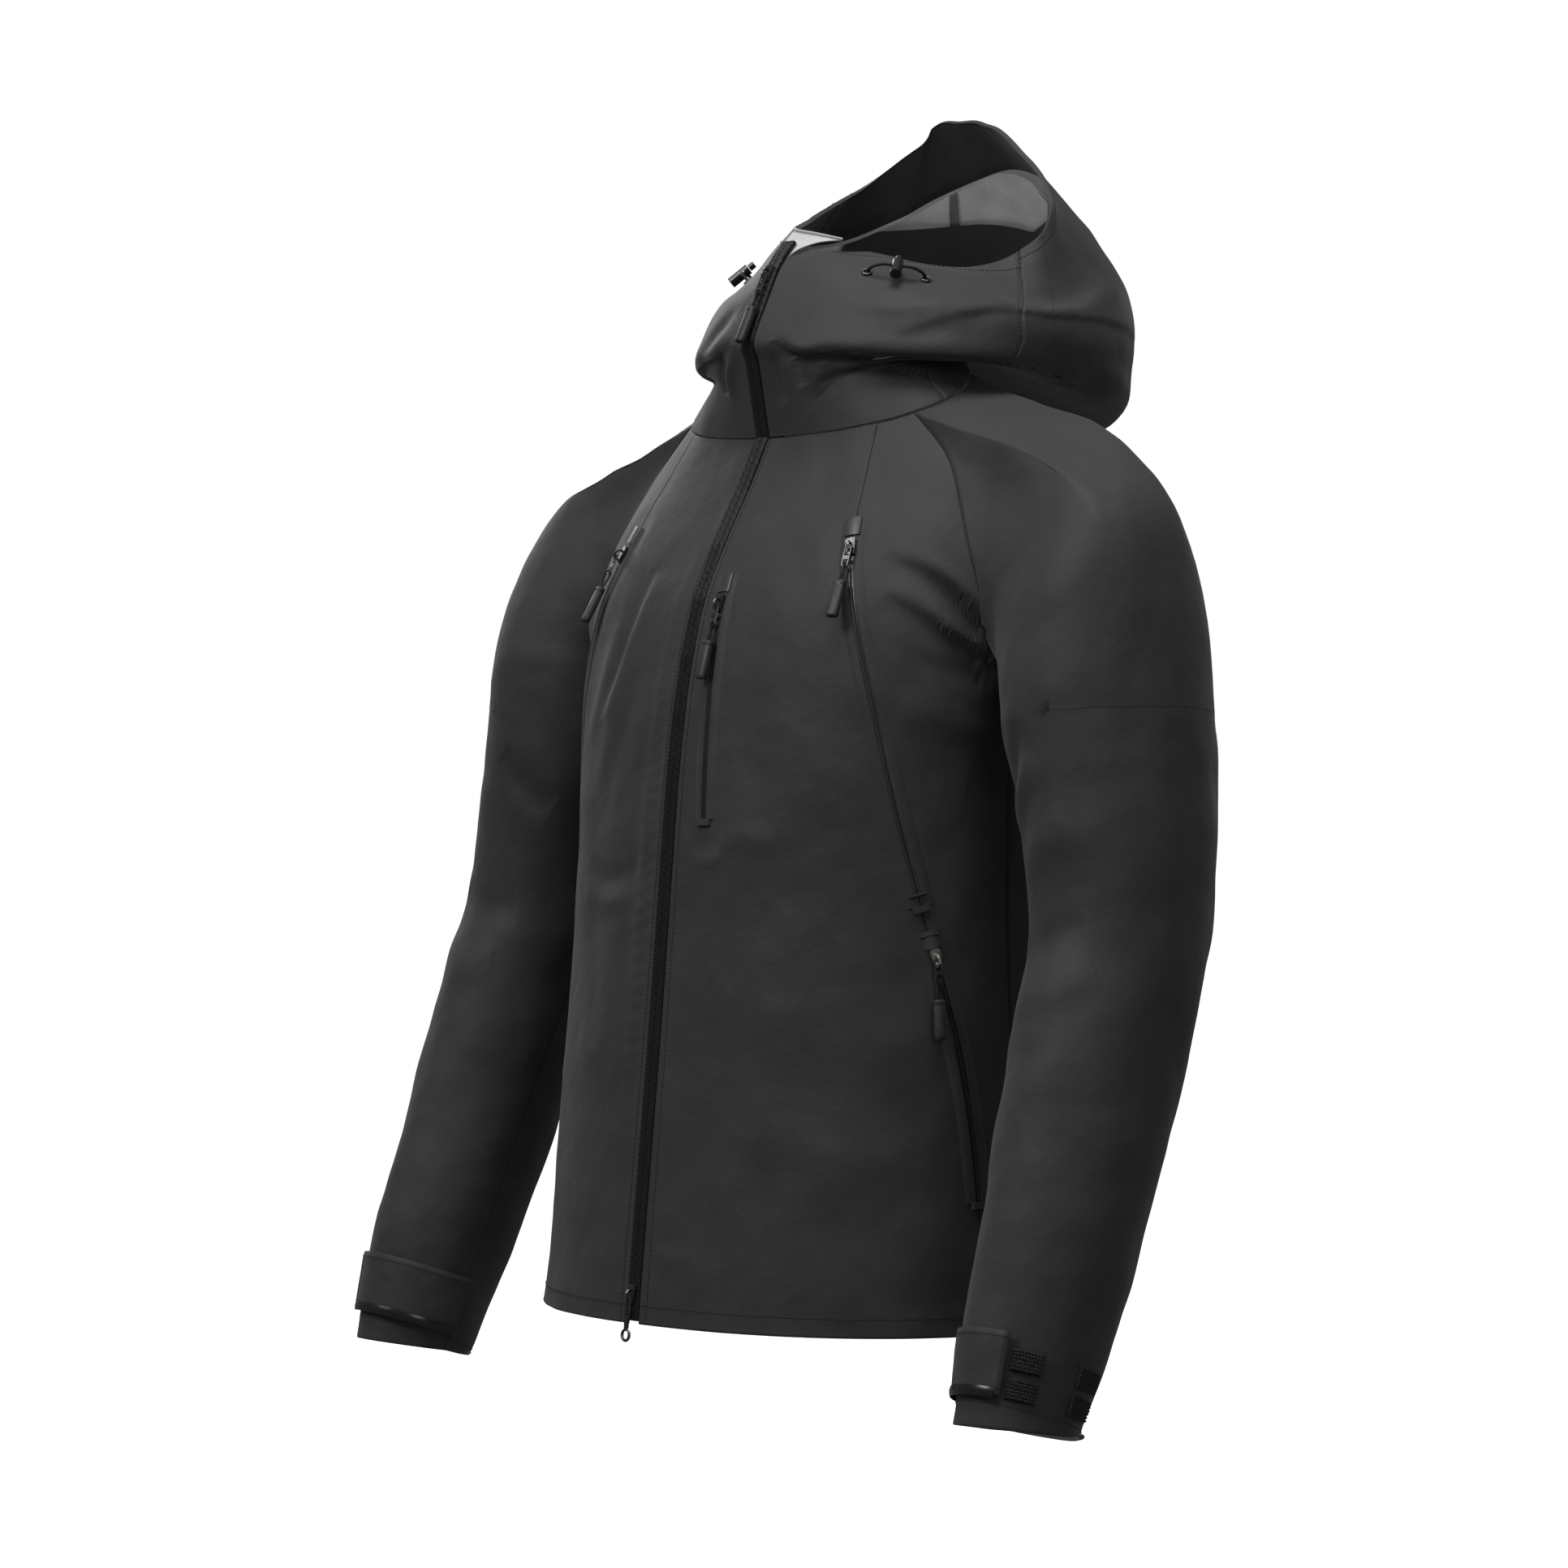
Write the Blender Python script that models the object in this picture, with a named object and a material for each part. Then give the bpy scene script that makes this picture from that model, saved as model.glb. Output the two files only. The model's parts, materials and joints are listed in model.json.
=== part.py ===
"""Hardshell jacket, zipped up, held in its worn shape.

Frame while building: x toward the wearer's left, y toward the back, z up, the hem at the centre front at
z = 0.  The finished pieces are moved so that the hanger loop at the back neck is the origin.
"""
import bpy
import numpy as np
from math import pi, radians
from mathutils import Matrix, Vector

NAME = "hardshell_jacket"
HANGER = (0.0, 0.0640, 0.6640)      # underside of the hanger loop, where a peg bears

FABRIC = 0.0012                     # three-layer shell fabric with its seam allowance
GAP = 0.00030                       # clear space left along every seam
ZIP_EDGE = 0.0055                   # the front edges stand this far from the middle of the zip

# ---------------------------------------------------------------- body shape
# height above the hem, half width, front depth, back depth of the body
TORSO = [
    (-0.030, 0.209, -0.166, 0.160), (0.00, 0.207, -0.163, 0.158), (0.10, 0.200, -0.153, 0.148),
    (0.20, 0.194, -0.143, 0.137), (0.30, 0.190, -0.134, 0.128), (0.38, 0.193, -0.126, 0.124),
    (0.44, 0.199, -0.116, 0.121), (0.48, 0.200, -0.105, 0.117), (0.52, 0.193, -0.086, 0.110),
    (0.56, 0.172, -0.064, 0.100), (0.60, 0.136, -0.046, 0.086), (0.645, 0.090, -0.036, 0.072)]
SECTION_POWER = 2.25
NECK_FRONT = (-0.052, 0.5875)
NECK_BACK = (0.082, 0.642)
ARMPIT_Z = 0.425
SEAM_TOP = (0.074, 0.618)

# height, across, depth position, half width, half depth of the sleeve
ARM = [
    (0.400, 0.272, 0.010, 0.064, 0.073), (0.345, 0.284, 0.006, 0.060, 0.069), (0.260, 0.297, -0.004, 0.055, 0.063),
    (0.180, 0.308, -0.032, 0.050, 0.059), (0.093, 0.312, -0.061, 0.047, 0.055), (0.020, 0.315, -0.088, 0.044, 0.051),
    (-0.045, 0.318, -0.110, 0.036, 0.043)]
# height and distance from the middle of the raglan seam
RAGLAN = [(0.425, 0.1985), (0.476, 0.194), (0.508, 0.185), (0.540, 0.170), (0.572, 0.148), (0.600, 0.117),
          (0.625, 0.086)]


def smooth(xs, ys, x):
    """Smooth curve through the listed heights."""
    xs = np.asarray(xs, float)
    ys = np.asarray(ys, float)
    x = np.clip(x, xs[0], xs[-1])
    m = np.gradient(ys, xs)
    i = np.clip(np.searchsorted(xs, x) - 1, 0, len(xs) - 2)
    h = xs[i + 1] - xs[i]
    t = (x - xs[i]) / h
    a = (2 * t**3 - 3 * t**2 + 1) * ys[i] + (t**3 - 2 * t**2 + t) * h * m[i]
    return a + (-2 * t**3 + 3 * t**2) * ys[i + 1] + (t**3 - t**2) * h * m[i + 1]


def section(z):
    t = np.array(TORSO)
    return tuple(smooth(t[:, 0], t[:, c], z) for c in (1, 2, 3))


def torso(phi, z):
    """A point of the body: phi -90 deg at the front, 0 at the wearer's left side, 90 at the back."""
    a, f, k = section(z)
    yc = (f + k) / 2
    c, s = np.cos(phi), np.sin(phi)
    b = np.where(s < 0, yc - f, k - yc)
    r = ((np.abs(c) / a)**SECTION_POWER + (np.abs(s) / b)**SECTION_POWER)**(-1 / SECTION_POWER)
    return np.stack([r * c, yc + r * s, z + 0 * phi], -1)


def azimuth(p):
    a, f, k = section(p[..., 2])
    return np.arctan2(p[..., 1] - (f + k) / 2, p[..., 0])


def neck_z(y):
    return NECK_FRONT[1] + (y - NECK_FRONT[0]) * (NECK_BACK[1] - NECK_FRONT[1]) / (NECK_BACK[0] - NECK_FRONT[0])


def raglan_x(z):
    t = np.array(RAGLAN)
    return smooth(t[:, 0], t[:, 1], z)


def raglan_point(z, back):
    """A point of the raglan seam at one height, front or back."""
    a, f, k = section(z)
    x = np.minimum(raglan_x(z), a)
    yc = (f + k) / 2
    b = k - yc if back else f - yc
    y = yc + b * np.maximum(0, 1 - (x / a)**SECTION_POWER)**(1 / SECTION_POWER)
    return np.stack([x, y, z + 0 * x], -1)


def resample(p, n):
    d = np.r_[0, np.cumsum(np.linalg.norm(np.diff(p, axis=0), axis=1))]
    s = np.linspace(0, d[-1], n)
    return np.stack([np.interp(s, d, p[:, c]) for c in range(3)], -1)


def neck_point(phi):
    """A point of the neckline at an azimuth, found by stepping onto the sloping neck plane."""
    z = np.full(np.shape(phi), 0.61)
    for _ in range(30):
        z = 0.5 * z + 0.5 * neck_z(torso(phi, z)[..., 1])
    return torso(phi, z)


def corner(back):
    """Height where the raglan seam reaches the neckline."""
    lo, hi = 0.5, 0.66
    for _ in range(40):
        mid = (lo + hi) / 2
        p = raglan_point(np.array(mid), back)
        if p[2] < neck_z(p[1]):
            lo = mid
        else:
            hi = mid
    return lo


def raglan_curve(back, n=200):
    """The whole raglan seam from the armpit up to the neckline."""
    t = np.linspace(0, 1, n)
    return raglan_point(ARMPIT_Z + (corner(back) - ARMPIT_Z) * t**1.0, back)


def sleeve_head(n_side, n_top):
    """Closed ring where the sleeve joins the body: neck, down the front seam, armpit, up the back seam."""
    front = raglan_curve(False, 900)[::-1]
    back = raglan_curve(True, 900)
    pf = azimuth(front[0])
    pb = azimuth(back[-1])
    half = n_top // 2
    top = neck_point(np.linspace(pb, pf, n_top * 1 + 1))
    top = resample(top, n_top + 1)
    ring = np.concatenate([top[half:-1], resample(front, n_side + 1)[:-1], resample(back, n_side + 1)[:-1], top[:half]])
    return ring


def arm_frame(z):
    t = np.array(ARM)[::-1]
    c = np.stack([smooth(t[:, 0], t[:, 1], z), smooth(t[:, 0], t[:, 2], z), z], -1)
    e = 1e-3
    d = np.stack([smooth(t[:, 0], t[:, 1], z + e) - smooth(t[:, 0], t[:, 1], z - e),
                  smooth(t[:, 0], t[:, 2], z + e) - smooth(t[:, 0], t[:, 2], z - e), 2 * e + 0 * z], -1)
    return c, -d / np.linalg.norm(d, axis=-1, keepdims=True), smooth(t[:, 0], t[:, 3], z), smooth(t[:, 0], t[:, 4], z)


def arm_ring(z, th):
    """A ring of the sleeve square to its run; th 0 is outermost, positive toward the front."""
    c, d, rx, ry = arm_frame(np.clip(z, -0.045, 0.40))
    out = np.cross(d, [0, 1.0, 0])
    out /= np.linalg.norm(out)
    fro = np.cross(out, d)
    fro /= np.linalg.norm(fro)
    if fro[1] > 0:
        fro = -fro
    p = c + rx * np.cos(th)[:, None] * out + ry * np.sin(th)[:, None] * fro
    return p, d


def sleeve(n_head, n_arm, n_side, n_top, head=None):
    """The sleeve as rings from the raglan seam to the cuff."""
    h = sleeve_head(n_side, n_top)
    n = len(h)
    i = np.arange(n)
    # angle of each strand round the arm, so the strands stay evenly spread
    d = np.r_[0, np.cumsum(np.linalg.norm(np.diff(np.r_[h, h[:1]], axis=0), axis=1))]
    s = d[:-1] / d[-1]
    k = n_top - n_top // 2 + n_side
    th = np.where(i <= k, pi * s / s[k], 2 * pi - pi * (1 - s) / (1 - s[k]))
    p1, dirn = arm_ring(0.40, th)
    # direction the cloth leaves the seam: along the body surface, away from the seam plane
    up = np.clip((h[:, 2:] - 0.46) / 0.14, 0, 1)
    up = up * up * (3 - 2 * up)
    nrm = np.concatenate([0.80 + 0.17 * up, 0 * up, -0.60 + 0.38 * up], 1)
    e = 1e-3
    g = h + 0 * h
    for c in range(3):
        a, b = h.copy(), h.copy()
        a[:, c] += e
        b[:, c] -= e
        g[:, c] = level(a) - level(b)
    g /= np.linalg.norm(g, axis=1)[:, None]
    t0 = nrm - g * (g * nrm).sum(1)[:, None] * 0.35
    t0 /= np.linalg.norm(t0, axis=1)[:, None]
    gap = np.linalg.norm(p1 - h, axis=1)[:, None]
    rows = []
    for w in np.linspace(0, 1, n_head + 1)[:-1]:
        rows.append((2 * w**3 - 3 * w**2 + 1) * h + (w**3 - 2 * w**2 + w) * t0 * gap * (0.6 + 0.9 * up)
                    + (-2 * w**3 + 3 * w**2) * p1 + (w**3 - w**2) * dirn * gap * (1.2 + 0.6 * up))
    for z in np.linspace(0.40, -0.045, n_arm + 1):
        rows.append(arm_ring(z, th)[0])
    return np.array(rows)


def level(p):
    a, f, k = section(p[..., 2])
    yc = (f + k) / 2
    b = np.where(p[..., 1] < yc, yc - f, k - yc)
    return ((np.abs(p[..., 0]) / a)**SECTION_POWER + (np.abs(p[..., 1] - yc) / b)**SECTION_POWER)**(1 / SECTION_POWER)


# hood and collar rings: half width, front, widest place, back, front power, back power, heights front/side/back, tilt
HOOD = [
    (0.088, -0.0520, 0.015, 0.079, 2.2, 2.2, 0.5880, 0.6240, 0.6480, 0.000),
    (0.099, -0.0550, 0.020, 0.112, 2.2, 2.2, 0.6120, 0.641, 0.645, 0.002),
    (0.132, -0.0600, 0.060, 0.212, 2.1, 2.2, 0.6380, 0.631, 0.596, -0.003),
    (0.142, -0.0640, 0.075, 0.240, 2.0, 2.1, 0.6520, 0.652, 0.640, 0.003),
    (0.138, -0.0520, 0.080, 0.236, 1.8, 2.1, 0.6800, 0.680, 0.700, 0.010),
    (0.121, -0.0400, 0.095, 0.190, 1.45, 2.3, 0.7050, 0.700, 0.762, 0.016),
    (0.099, -0.0230, 0.108, 0.145, 1.25, 2.8, 0.7250, 0.730, 0.806, 0.020)]
# azimuth and height of the face opening edge, wearer's left round to the right
RIM = [(0, 0.725), (25, 0.712), (50, 0.703), (75, 0.710), (95, 0.733), (113, 0.768), (135, 0.797), (165, 0.809),
       (200, 0.812), (225, 0.8115), (245, 0.796), (262, 0.774), (285, 0.757), (310, 0.746), (335, 0.738), (360, 0.725)]


def hood_ring(row, psi):
    a, f, yc, b, nf, nb, zf, zs, zb, tilt = row
    c, s = np.cos(psi), np.sin(psi)
    n = np.where(c > 0, nf, nb)
    h = np.where(c > 0, yc - f, b - yc)
    r = (np.abs(s / a)**n + np.abs(c / h)**n)**(-1 / n)
    x = r * s
    y = yc - r * c
    w = np.abs(c)**1.6
    z = np.where(c > 0, zf, zb) * w + zs * (1 - w) - tilt * s * (1 - w)
    return np.stack([x, y, z + 0 * x], -1)


def hood(nm, npsi):
    t = np.linspace(0, 2 * pi, npsi)
    psi = t
    k = [hood_ring(r, psi) for r in HOOD]
    rim = np.array(RIM, float)
    k[-1][:, 2] = smooth(np.radians(rim[:, 0]), rim[:, 1], psi)
    k = np.array(k)
    u = np.arange(len(k))
    uu = np.linspace(0, len(k) - 1, nm)
    out = np.zeros((nm, npsi, 3))
    for j in range(npsi):
        for c in range(3):
            out[:, j, c] = smooth(u, k[:, j, c], uu)
    return out




def hood_rings(us, psi_of):
    """Grid of the hood skin: one ring per value of us, psi_of(u) gives the azimuths of that ring."""
    keys = np.arange(len(HOOD))
    out = []
    for u in us:
        psi = psi_of(u)
        rings = np.array([hood_key(k, psi) for k in keys])
        out.append(np.stack([along(rings[:, :, c], u) for c in range(3)], -1))
    return np.array(out)


def hood_key(k, psi):
    p = hood_ring(HOOD[k], psi)
    if k == 0:
        # the lowest ring stands on the neckline, a little clear of the body's top edge
        p = neck_point(psi - pi / 2)
        p[:, 2] += 0.0014 + 0.0012 * (1 - np.cos(psi))
    if k == len(HOOD) - 1:
        rim = np.array(RIM, float)
        p[:, 2] = smooth(np.radians(rim[:, 0]), rim[:, 1], np.mod(psi, 2 * pi))
    return p


def along(rows, u):
    """Smooth value between the listed rings, one column per strand."""
    m = np.gradient(rows, axis=0)
    i = int(min(max(np.floor(u), 0), len(rows) - 2))
    t = u - i
    a = (2 * t**3 - 3 * t**2 + 1) * rows[i] + (t**3 - 2 * t**2 + t) * m[i]
    return a + (-2 * t**3 + 3 * t**2) * rows[i + 1] + (t**3 - t**2) * m[i + 1]


# height and azimuth of the seam that carries the side pocket zips
POCKET_SEAM = [(-0.030, -9.0), (0.087, -9.2), (0.140, -10.4), (0.187, -12.6), (0.224, -15.2), (0.253, -17.2),
               (0.281, -19.4), (0.339, -24.0), (0.402, -28.8), (0.455, -33.0), (0.508, -35.5), (0.535, -35.0),
               (0.573, -32.0), (0.605, -27.5), (0.640, -25.0)]
UNDERARM = 0.60                     # share of the panel rows that lie below the armpit


def pocket_azimuth(z):
    t = np.array(POCKET_SEAM)
    return np.radians(smooth(t[:, 0], t[:, 1], z))


def seam_top():
    """Height where the pocket seam meets the neckline."""
    z = 0.60
    for _ in range(30):
        z = 0.5 * z + 0.5 * neck_z(torso(pocket_azimuth(z), np.array(z))[1])
    return float(z)


def side_ends(n_low, n_high, back):
    """Outer ends of the panel rows: up the side seam, then up the raglan seam."""
    low = [torso(np.array(0.0), np.array(ARMPIT_Z * i / n_low)) for i in range(n_low)]
    return np.array(low + list(resample(raglan_curve(back, 900), n_high + 1)))


def row_between(p0, a0, p1, a1, n):
    u = np.linspace(0, 1, n)
    return torso(a0 + (a1 - a0) * u, p0[2] + (p1[2] - p0[2]) * u)


def front_edge(v):
    z = v * neck_point(np.array(-pi / 2))[2]
    a, f, k = section(z)
    return np.array([ZIP_EDGE, f, z])


def front_panel(n_low, n_high, nu):
    rows = []
    n = n_low + n_high
    top = seam_top()
    for i in range(n + 1):
        v = i / n
        z = v * top
        e = front_edge(v)
        rows.append(row_between(e, azimuth(e), np.array([0, 0, z]), pocket_azimuth(z), nu))
    rows[-1] = neck_point(azimuth(rows[-1]))
    return np.array(rows)


def side_panel(n_low, n_high, nu):
    rows = []
    n = n_low + n_high
    top = seam_top()
    ends = side_ends(n_low, n_high, False)
    for i in range(n + 1):
        z = i / n * top
        e = ends[i]
        rows.append(row_between(np.array([0, 0, z]), pocket_azimuth(z), e, float(azimuth(e)), nu))
    rows[-1] = neck_point(azimuth(rows[-1]))
    return np.array(rows)


def back_panel(n_low, n_high, nu):
    rows = []
    n = n_low + n_high
    top = neck_point(np.array(pi / 2))[2]
    ends = side_ends(n_low, n_high, True)
    for i in range(n + 1):
        e = ends[i]
        row = row_between(e, float(azimuth(e)), np.array([0, 0, i / n * top]), pi / 2, nu)
        if i == n:
            row = neck_point(azimuth(row))
        rows.append(np.concatenate([row, row[-2::-1] * [-1, 1, 1]]))
    return np.array(rows)


# ---------------------------------------------------------------- mesh helpers
def unit(v):
    return v / np.maximum(np.linalg.norm(v, axis=-1, keepdims=True), 1e-12)


def grid_normals(g):
    du = np.gradient(g, axis=0)
    dv = np.gradient(g, axis=1)
    return unit(np.cross(dv, du))


def inset(g, amounts):
    """Pull the four edges of a grid inward along the sheet: first row, last row, first column, last column."""
    g = g.copy()
    a, b, c, d = amounts
    if a:
        g[0] += unit(g[1] - g[0]) * a
    if b:
        g[-1] += unit(g[-2] - g[-1]) * b
    if c:
        g[:, 0] += unit(g[:, 1] - g[:, 0]) * c
    if d:
        g[:, -1] += unit(g[:, -2] - g[:, -1]) * d
    return g


def sheet(g, depth, edges=(1, 1, 1, 1), sink=0.0):
    """Closed solid sheet below a grid whose normals face out; edges marked 1 leave a mitred seam gap."""
    n = grid_normals(g)
    top = inset(g, [GAP * 0.6 * e for e in edges]) - n * sink
    low = inset(g, [(GAP * 0.6 + depth * 0.9) * e for e in edges]) - n * (sink + depth)
    return box_of(top, low)


def box_of(top, low):
    r, c = top.shape[:2]
    v = np.concatenate([top.reshape(-1, 3), low.reshape(-1, 3)])
    o = r * c
    f = []
    for i in range(r - 1):
        for j in range(c - 1):
            q = (i * c + j, i * c + j + 1, (i + 1) * c + j + 1, (i + 1) * c + j)
            if np.linalg.norm(v[q[0]] - v[q[2]]) > np.linalg.norm(v[q[1]] - v[q[3]]):
                q = q[1:] + q[:1]
            for t in ((q[0], q[1], q[2]), (q[0], q[2], q[3])):
                f.append(t)
                f.append(tuple(k + o for k in reversed(t)))
    rim = [j for j in range(c)] + [i * c + c - 1 for i in range(1, r)]
    rim += [(r - 1) * c + j for j in range(c - 2, -1, -1)] + [i * c for i in range(r - 2, 0, -1)]
    for k in range(len(rim)):
        a, b = rim[k], rim[(k + 1) % len(rim)]
        f.append((b, a, a + o, b + o))
    return v, f


def outward(v, f):
    """Turn the faces so that they look out of the solid."""
    vol = 0.0
    for q in f:
        for k in range(1, len(q) - 1):
            vol += np.dot(v[q[0]], np.cross(v[q[k]], v[q[k + 1]]))
    return f if vol > 0 else [tuple(reversed(q)) for q in f]


def prism(outline, low, high):
    """A flat outline (across, along) given thickness between two heights."""
    n = len(outline)
    v = [(x, y, low) for x, y in outline] + [(x, y, high) for x, y in outline]
    f = [tuple(range(n - 1, -1, -1)), tuple(range(n, 2 * n))]
    f += [(i, (i + 1) % n, (i + 1) % n + n, i + n) for i in range(n)]
    return np.array(v, float), f


def tube(path, radius, sides, closed=False, flat=1.0, side=(1, 0, 0)):
    """A round bar along a path; flat squashes it across its own second axis."""
    p = np.array(path, float)
    if closed:
        t = unit(np.roll(p, -1, 0) - np.roll(p, 1, 0))
    else:
        t = unit(np.gradient(p, axis=0))
    s = np.array(side, float)
    v = []
    for i in range(len(p)):
        a = unit(s - t[i] * np.dot(s, t[i]))
        b = np.cross(t[i], a)
        for k in range(sides):
            w = 2 * pi * (k + 0.5) / sides
            v.append(p[i] + a * radius * np.cos(w) + b * radius * flat * np.sin(w))
    n = len(p)
    f = []
    for i in range(n if closed else n - 1):
        for k in range(sides):
            a, b = i * sides + k, i * sides + (k + 1) % sides
            c, d = ((i + 1) % n) * sides + (k + 1) % sides, ((i + 1) % n) * sides + k
            f.append((a, b, c, d))
    if not closed:
        f.append(tuple(range(sides - 1, -1, -1)))
        f.append(tuple(range((n - 1) * sides, n * sides)))
    return np.array(v), f


def rounded(w, h, r, steps=3):
    """Outline of a rounded rectangle centred on zero."""
    out = []
    for cx, cy, a0 in ((w - r, h - r, 0), (r - w, h - r, 90), (r - w, r - h, 180), (w - r, r - h, 270)):
        for i in range(steps + 1):
            a = radians(a0 + 90 * i / steps)
            out.append((cx + r * np.cos(a), cy + r * np.sin(a)))
    return out


# ---------------------------------------------------------------- scene helpers
MATERIALS = {
    "shell": ((0.045, 0.045, 0.047), 0.78, 0.0), "lining": ((0.42, 0.42, 0.42), 0.85, 0.0),
    "zip": ((0.012, 0.012, 0.013), 0.45, 0.0), "metal": ((0.20, 0.20, 0.20), 0.35, 1.0),
    "grip": ((0.030, 0.030, 0.031), 0.55, 0.0), "cord": ((0.014, 0.014, 0.014), 0.70, 0.0),
    "lock": ((0.016, 0.016, 0.016), 0.40, 0.0), "tab": ((0.030, 0.030, 0.031), 0.70, 0.0)}


def clear():
    for o in list(bpy.data.objects):
        bpy.data.objects.remove(o, do_unlink=True)


def collection(name):
    c = bpy.data.collections.new(name)
    bpy.context.scene.collection.children.link(c)
    return c


def material(name, kind):
    colour, rough, metal = MATERIALS[kind]
    m = bpy.data.materials.new(name)
    m.use_nodes = True
    b = m.node_tree.nodes["Principled BSDF"]
    b.inputs["Base Color"].default_value = (*colour, 1)
    b.inputs["Roughness"].default_value = rough
    b.inputs["Metallic"].default_value = metal
    return m


def add(name, solid, kind, origin=(0, 0, 0), flip=False, group=None):
    """Put one closed solid in the scene, its own origin on its joint axis."""
    v, f = solid
    v = np.array(v, float)
    if flip:
        v = v * [-1, 1, 1]
    f = outward(v - v.mean(0), f)
    o = np.array(origin, float) * ([-1, 1, 1] if flip else [1, 1, 1])
    me = bpy.data.meshes.new(name)
    me.from_pydata([tuple(p) for p in v - o], [], f)
    me.update()
    ob = bpy.data.objects.new(name, me)
    ob.location = o - np.array(HANGER)
    me.materials.append(material(name, kind))
    (group or PARTS).objects.link(ob)
    return ob


def combine(ob, solid, how, origin, flip=False):
    """Join or cut a part with a helper solid kept in the cutters collection."""
    name = "%s_%s%d" % (ob.name, how.lower()[:3], len(ob.modifiers) + 1)
    cut = add(name, solid, "metal", origin, flip, CUTTERS)
    cut.hide_render = True
    cut.display_type = "WIRE"
    m = ob.modifiers.new(name, "BOOLEAN")
    m.operation = how
    m.solver = "EXACT"
    m.object = cut
    return cut


def place(solid, frame):
    """Move a solid from its own small frame (across, up, out) to a place on the jacket."""
    o, a, b, c = frame
    v = np.array(solid[0], float)
    return o + v[:, :1] * a + v[:, 1:2] * b + v[:, 2:3] * c, solid[1]


def frame_on(point, up, out):
    """Axes (across, up, out) at a point of the cloth."""
    b = unit(np.array(up, float))
    c = np.array(out, float)
    c = unit(c - b * np.dot(b, c))
    return np.array(point, float), np.cross(b, c), b, c


# ---------------------------------------------------------------- fabric parts
LOW = 7                             # rows of cloth below the armpit
HIGH = 7                            # rows of cloth from the armpit to the neck
TOP = 4                             # strands of the sleeve along the neckline
RINGS = (0.0, 0.5, 1.0, 1.5, 2.0, 2.5, 3.0, 3.6, 4.3, 5.0, 5.5, 6.0)
SIDE_SEAM = radians(88)             # hood seam between cheek and centre
BRIM_FROM = 5.2
BRIM_SIDE = radians(112)


def add_body():
    add("front_panel_left", sheet(front_panel(LOW, HIGH, 6), FABRIC), "shell")
    add("front_panel_right", sheet(front_panel(LOW, HIGH, 6), FABRIC), "shell", flip=True)
    add("side_panel_left", sheet(side_panel(LOW, HIGH, 4), FABRIC), "shell")
    add("side_panel_right", sheet(side_panel(LOW, HIGH, 4), FABRIC), "shell", flip=True)
    add("back_panel", sheet(back_panel(LOW, HIGH, 6), FABRIC), "shell")


def add_sleeves():
    g = sleeve(4, 8, HIGH, TOP)
    n = g.shape[1]
    pit = TOP - TOP // 2 + HIGH
    a, b = pit - 3, pit + 3
    under = g[:, a:b + 1]
    outer = np.concatenate([g[:, b:], g[:, :a + 1]], 1)
    for flip, side in ((False, "left"), (True, "right")):
        add("sleeve_outer_" + side, sheet(outer, FABRIC), "shell", flip=flip)
        add("sleeve_under_" + side, sheet(under, FABRIC), "shell", flip=flip)


def front_gap(u):
    x = hood_rings([u], lambda k: np.array([0.05]))[0, 0, 0]
    return (ZIP_EDGE + 0.0003) * 0.05 / x


def hood_part(rings, start, stop, n, blunt=False):
    return hood_rings(rings, lambda u: np.linspace(start(u), stop(u), n))


def add_hood():
    left = hood_part(RINGS, lambda u: front_gap(u), lambda u: SIDE_SEAM, 8)
    right = hood_part(RINGS, lambda u: 2 * pi - SIDE_SEAM, lambda u: 2 * pi - front_gap(u), 8)
    add("hood_cheek_left", sheet(left, FABRIC), "shell")
    add("hood_cheek_right", sheet(right, FABRIC), "shell")
    low = [u for u in RINGS if u < BRIM_FROM] + [BRIM_FROM]
    centre = hood_part(low, lambda u: SIDE_SEAM, lambda u: 2 * pi - SIDE_SEAM, 13)
    add("hood_centre", sheet(centre, FABRIC), "shell")
    brim = hood_part((BRIM_FROM, 5.6, 6.0), lambda u: SIDE_SEAM, lambda u: 2 * pi - SIDE_SEAM, 13)
    add("hood_brim", sheet(brim, 0.0020), "shell")
    wrap = hood_part((2.4, 3.0, 3.6, 4.3, 5.3), lambda u: radians(20), lambda u: radians(340), 17)
    middle = np.array([0, HOOD[3][2], 0])
    toward = unit((wrap - middle) * [1, 1, 0])
    add("hood_lining", box_of(wrap - toward * 0.0090, wrap - toward * 0.0100), "lining")
    guard = hood_part((5.35, 5.7, 6.0), lambda u: radians(350), lambda u: radians(325), 5)[:, ::-1]
    guard[..., 2] += 0.004
    add("chin_guard", sheet(guard, 0.0010, sink=-0.0060), "lining")


def front_line():
    """Middle of the front closure from the hem to the chin."""
    z = np.linspace(0.002, neck_point(np.array(-pi / 2))[2], 17)
    low = np.stack([0 * z, section(z)[1], z], -1)
    high = hood_rings(np.linspace(0.3, 5.75, 13), lambda u: np.array([0.0]))[:, 0]
    return np.concatenate([low, high])


def strip(line, x0, x1, sink, depth):
    """A tape following a line in the middle plane, from x0 to x1 across."""
    t = unit(np.gradient(line, axis=0))
    n = np.stack([0 * t[:, 0], -t[:, 2], t[:, 1]], -1)
    a = line - n * sink
    g = np.stack([a + [x0, 0, 0], a + [x1, 0, 0]], 1)
    h = g - n[:, None] * depth
    return box_of(g, h)


def add_front_zip():
    line = front_line()
    add("main_zip_left", strip(line, 0.00018, ZIP_EDGE - 0.0004, 0.0, 0.0010), "zip")
    add("main_zip_right", strip(line, -0.00018, 0.0004 - ZIP_EDGE, 0.0, 0.0010), "zip")
    add("storm_flap", strip(line[:21], -0.016, 0.016, 0.0045, 0.0010), "shell")


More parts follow.
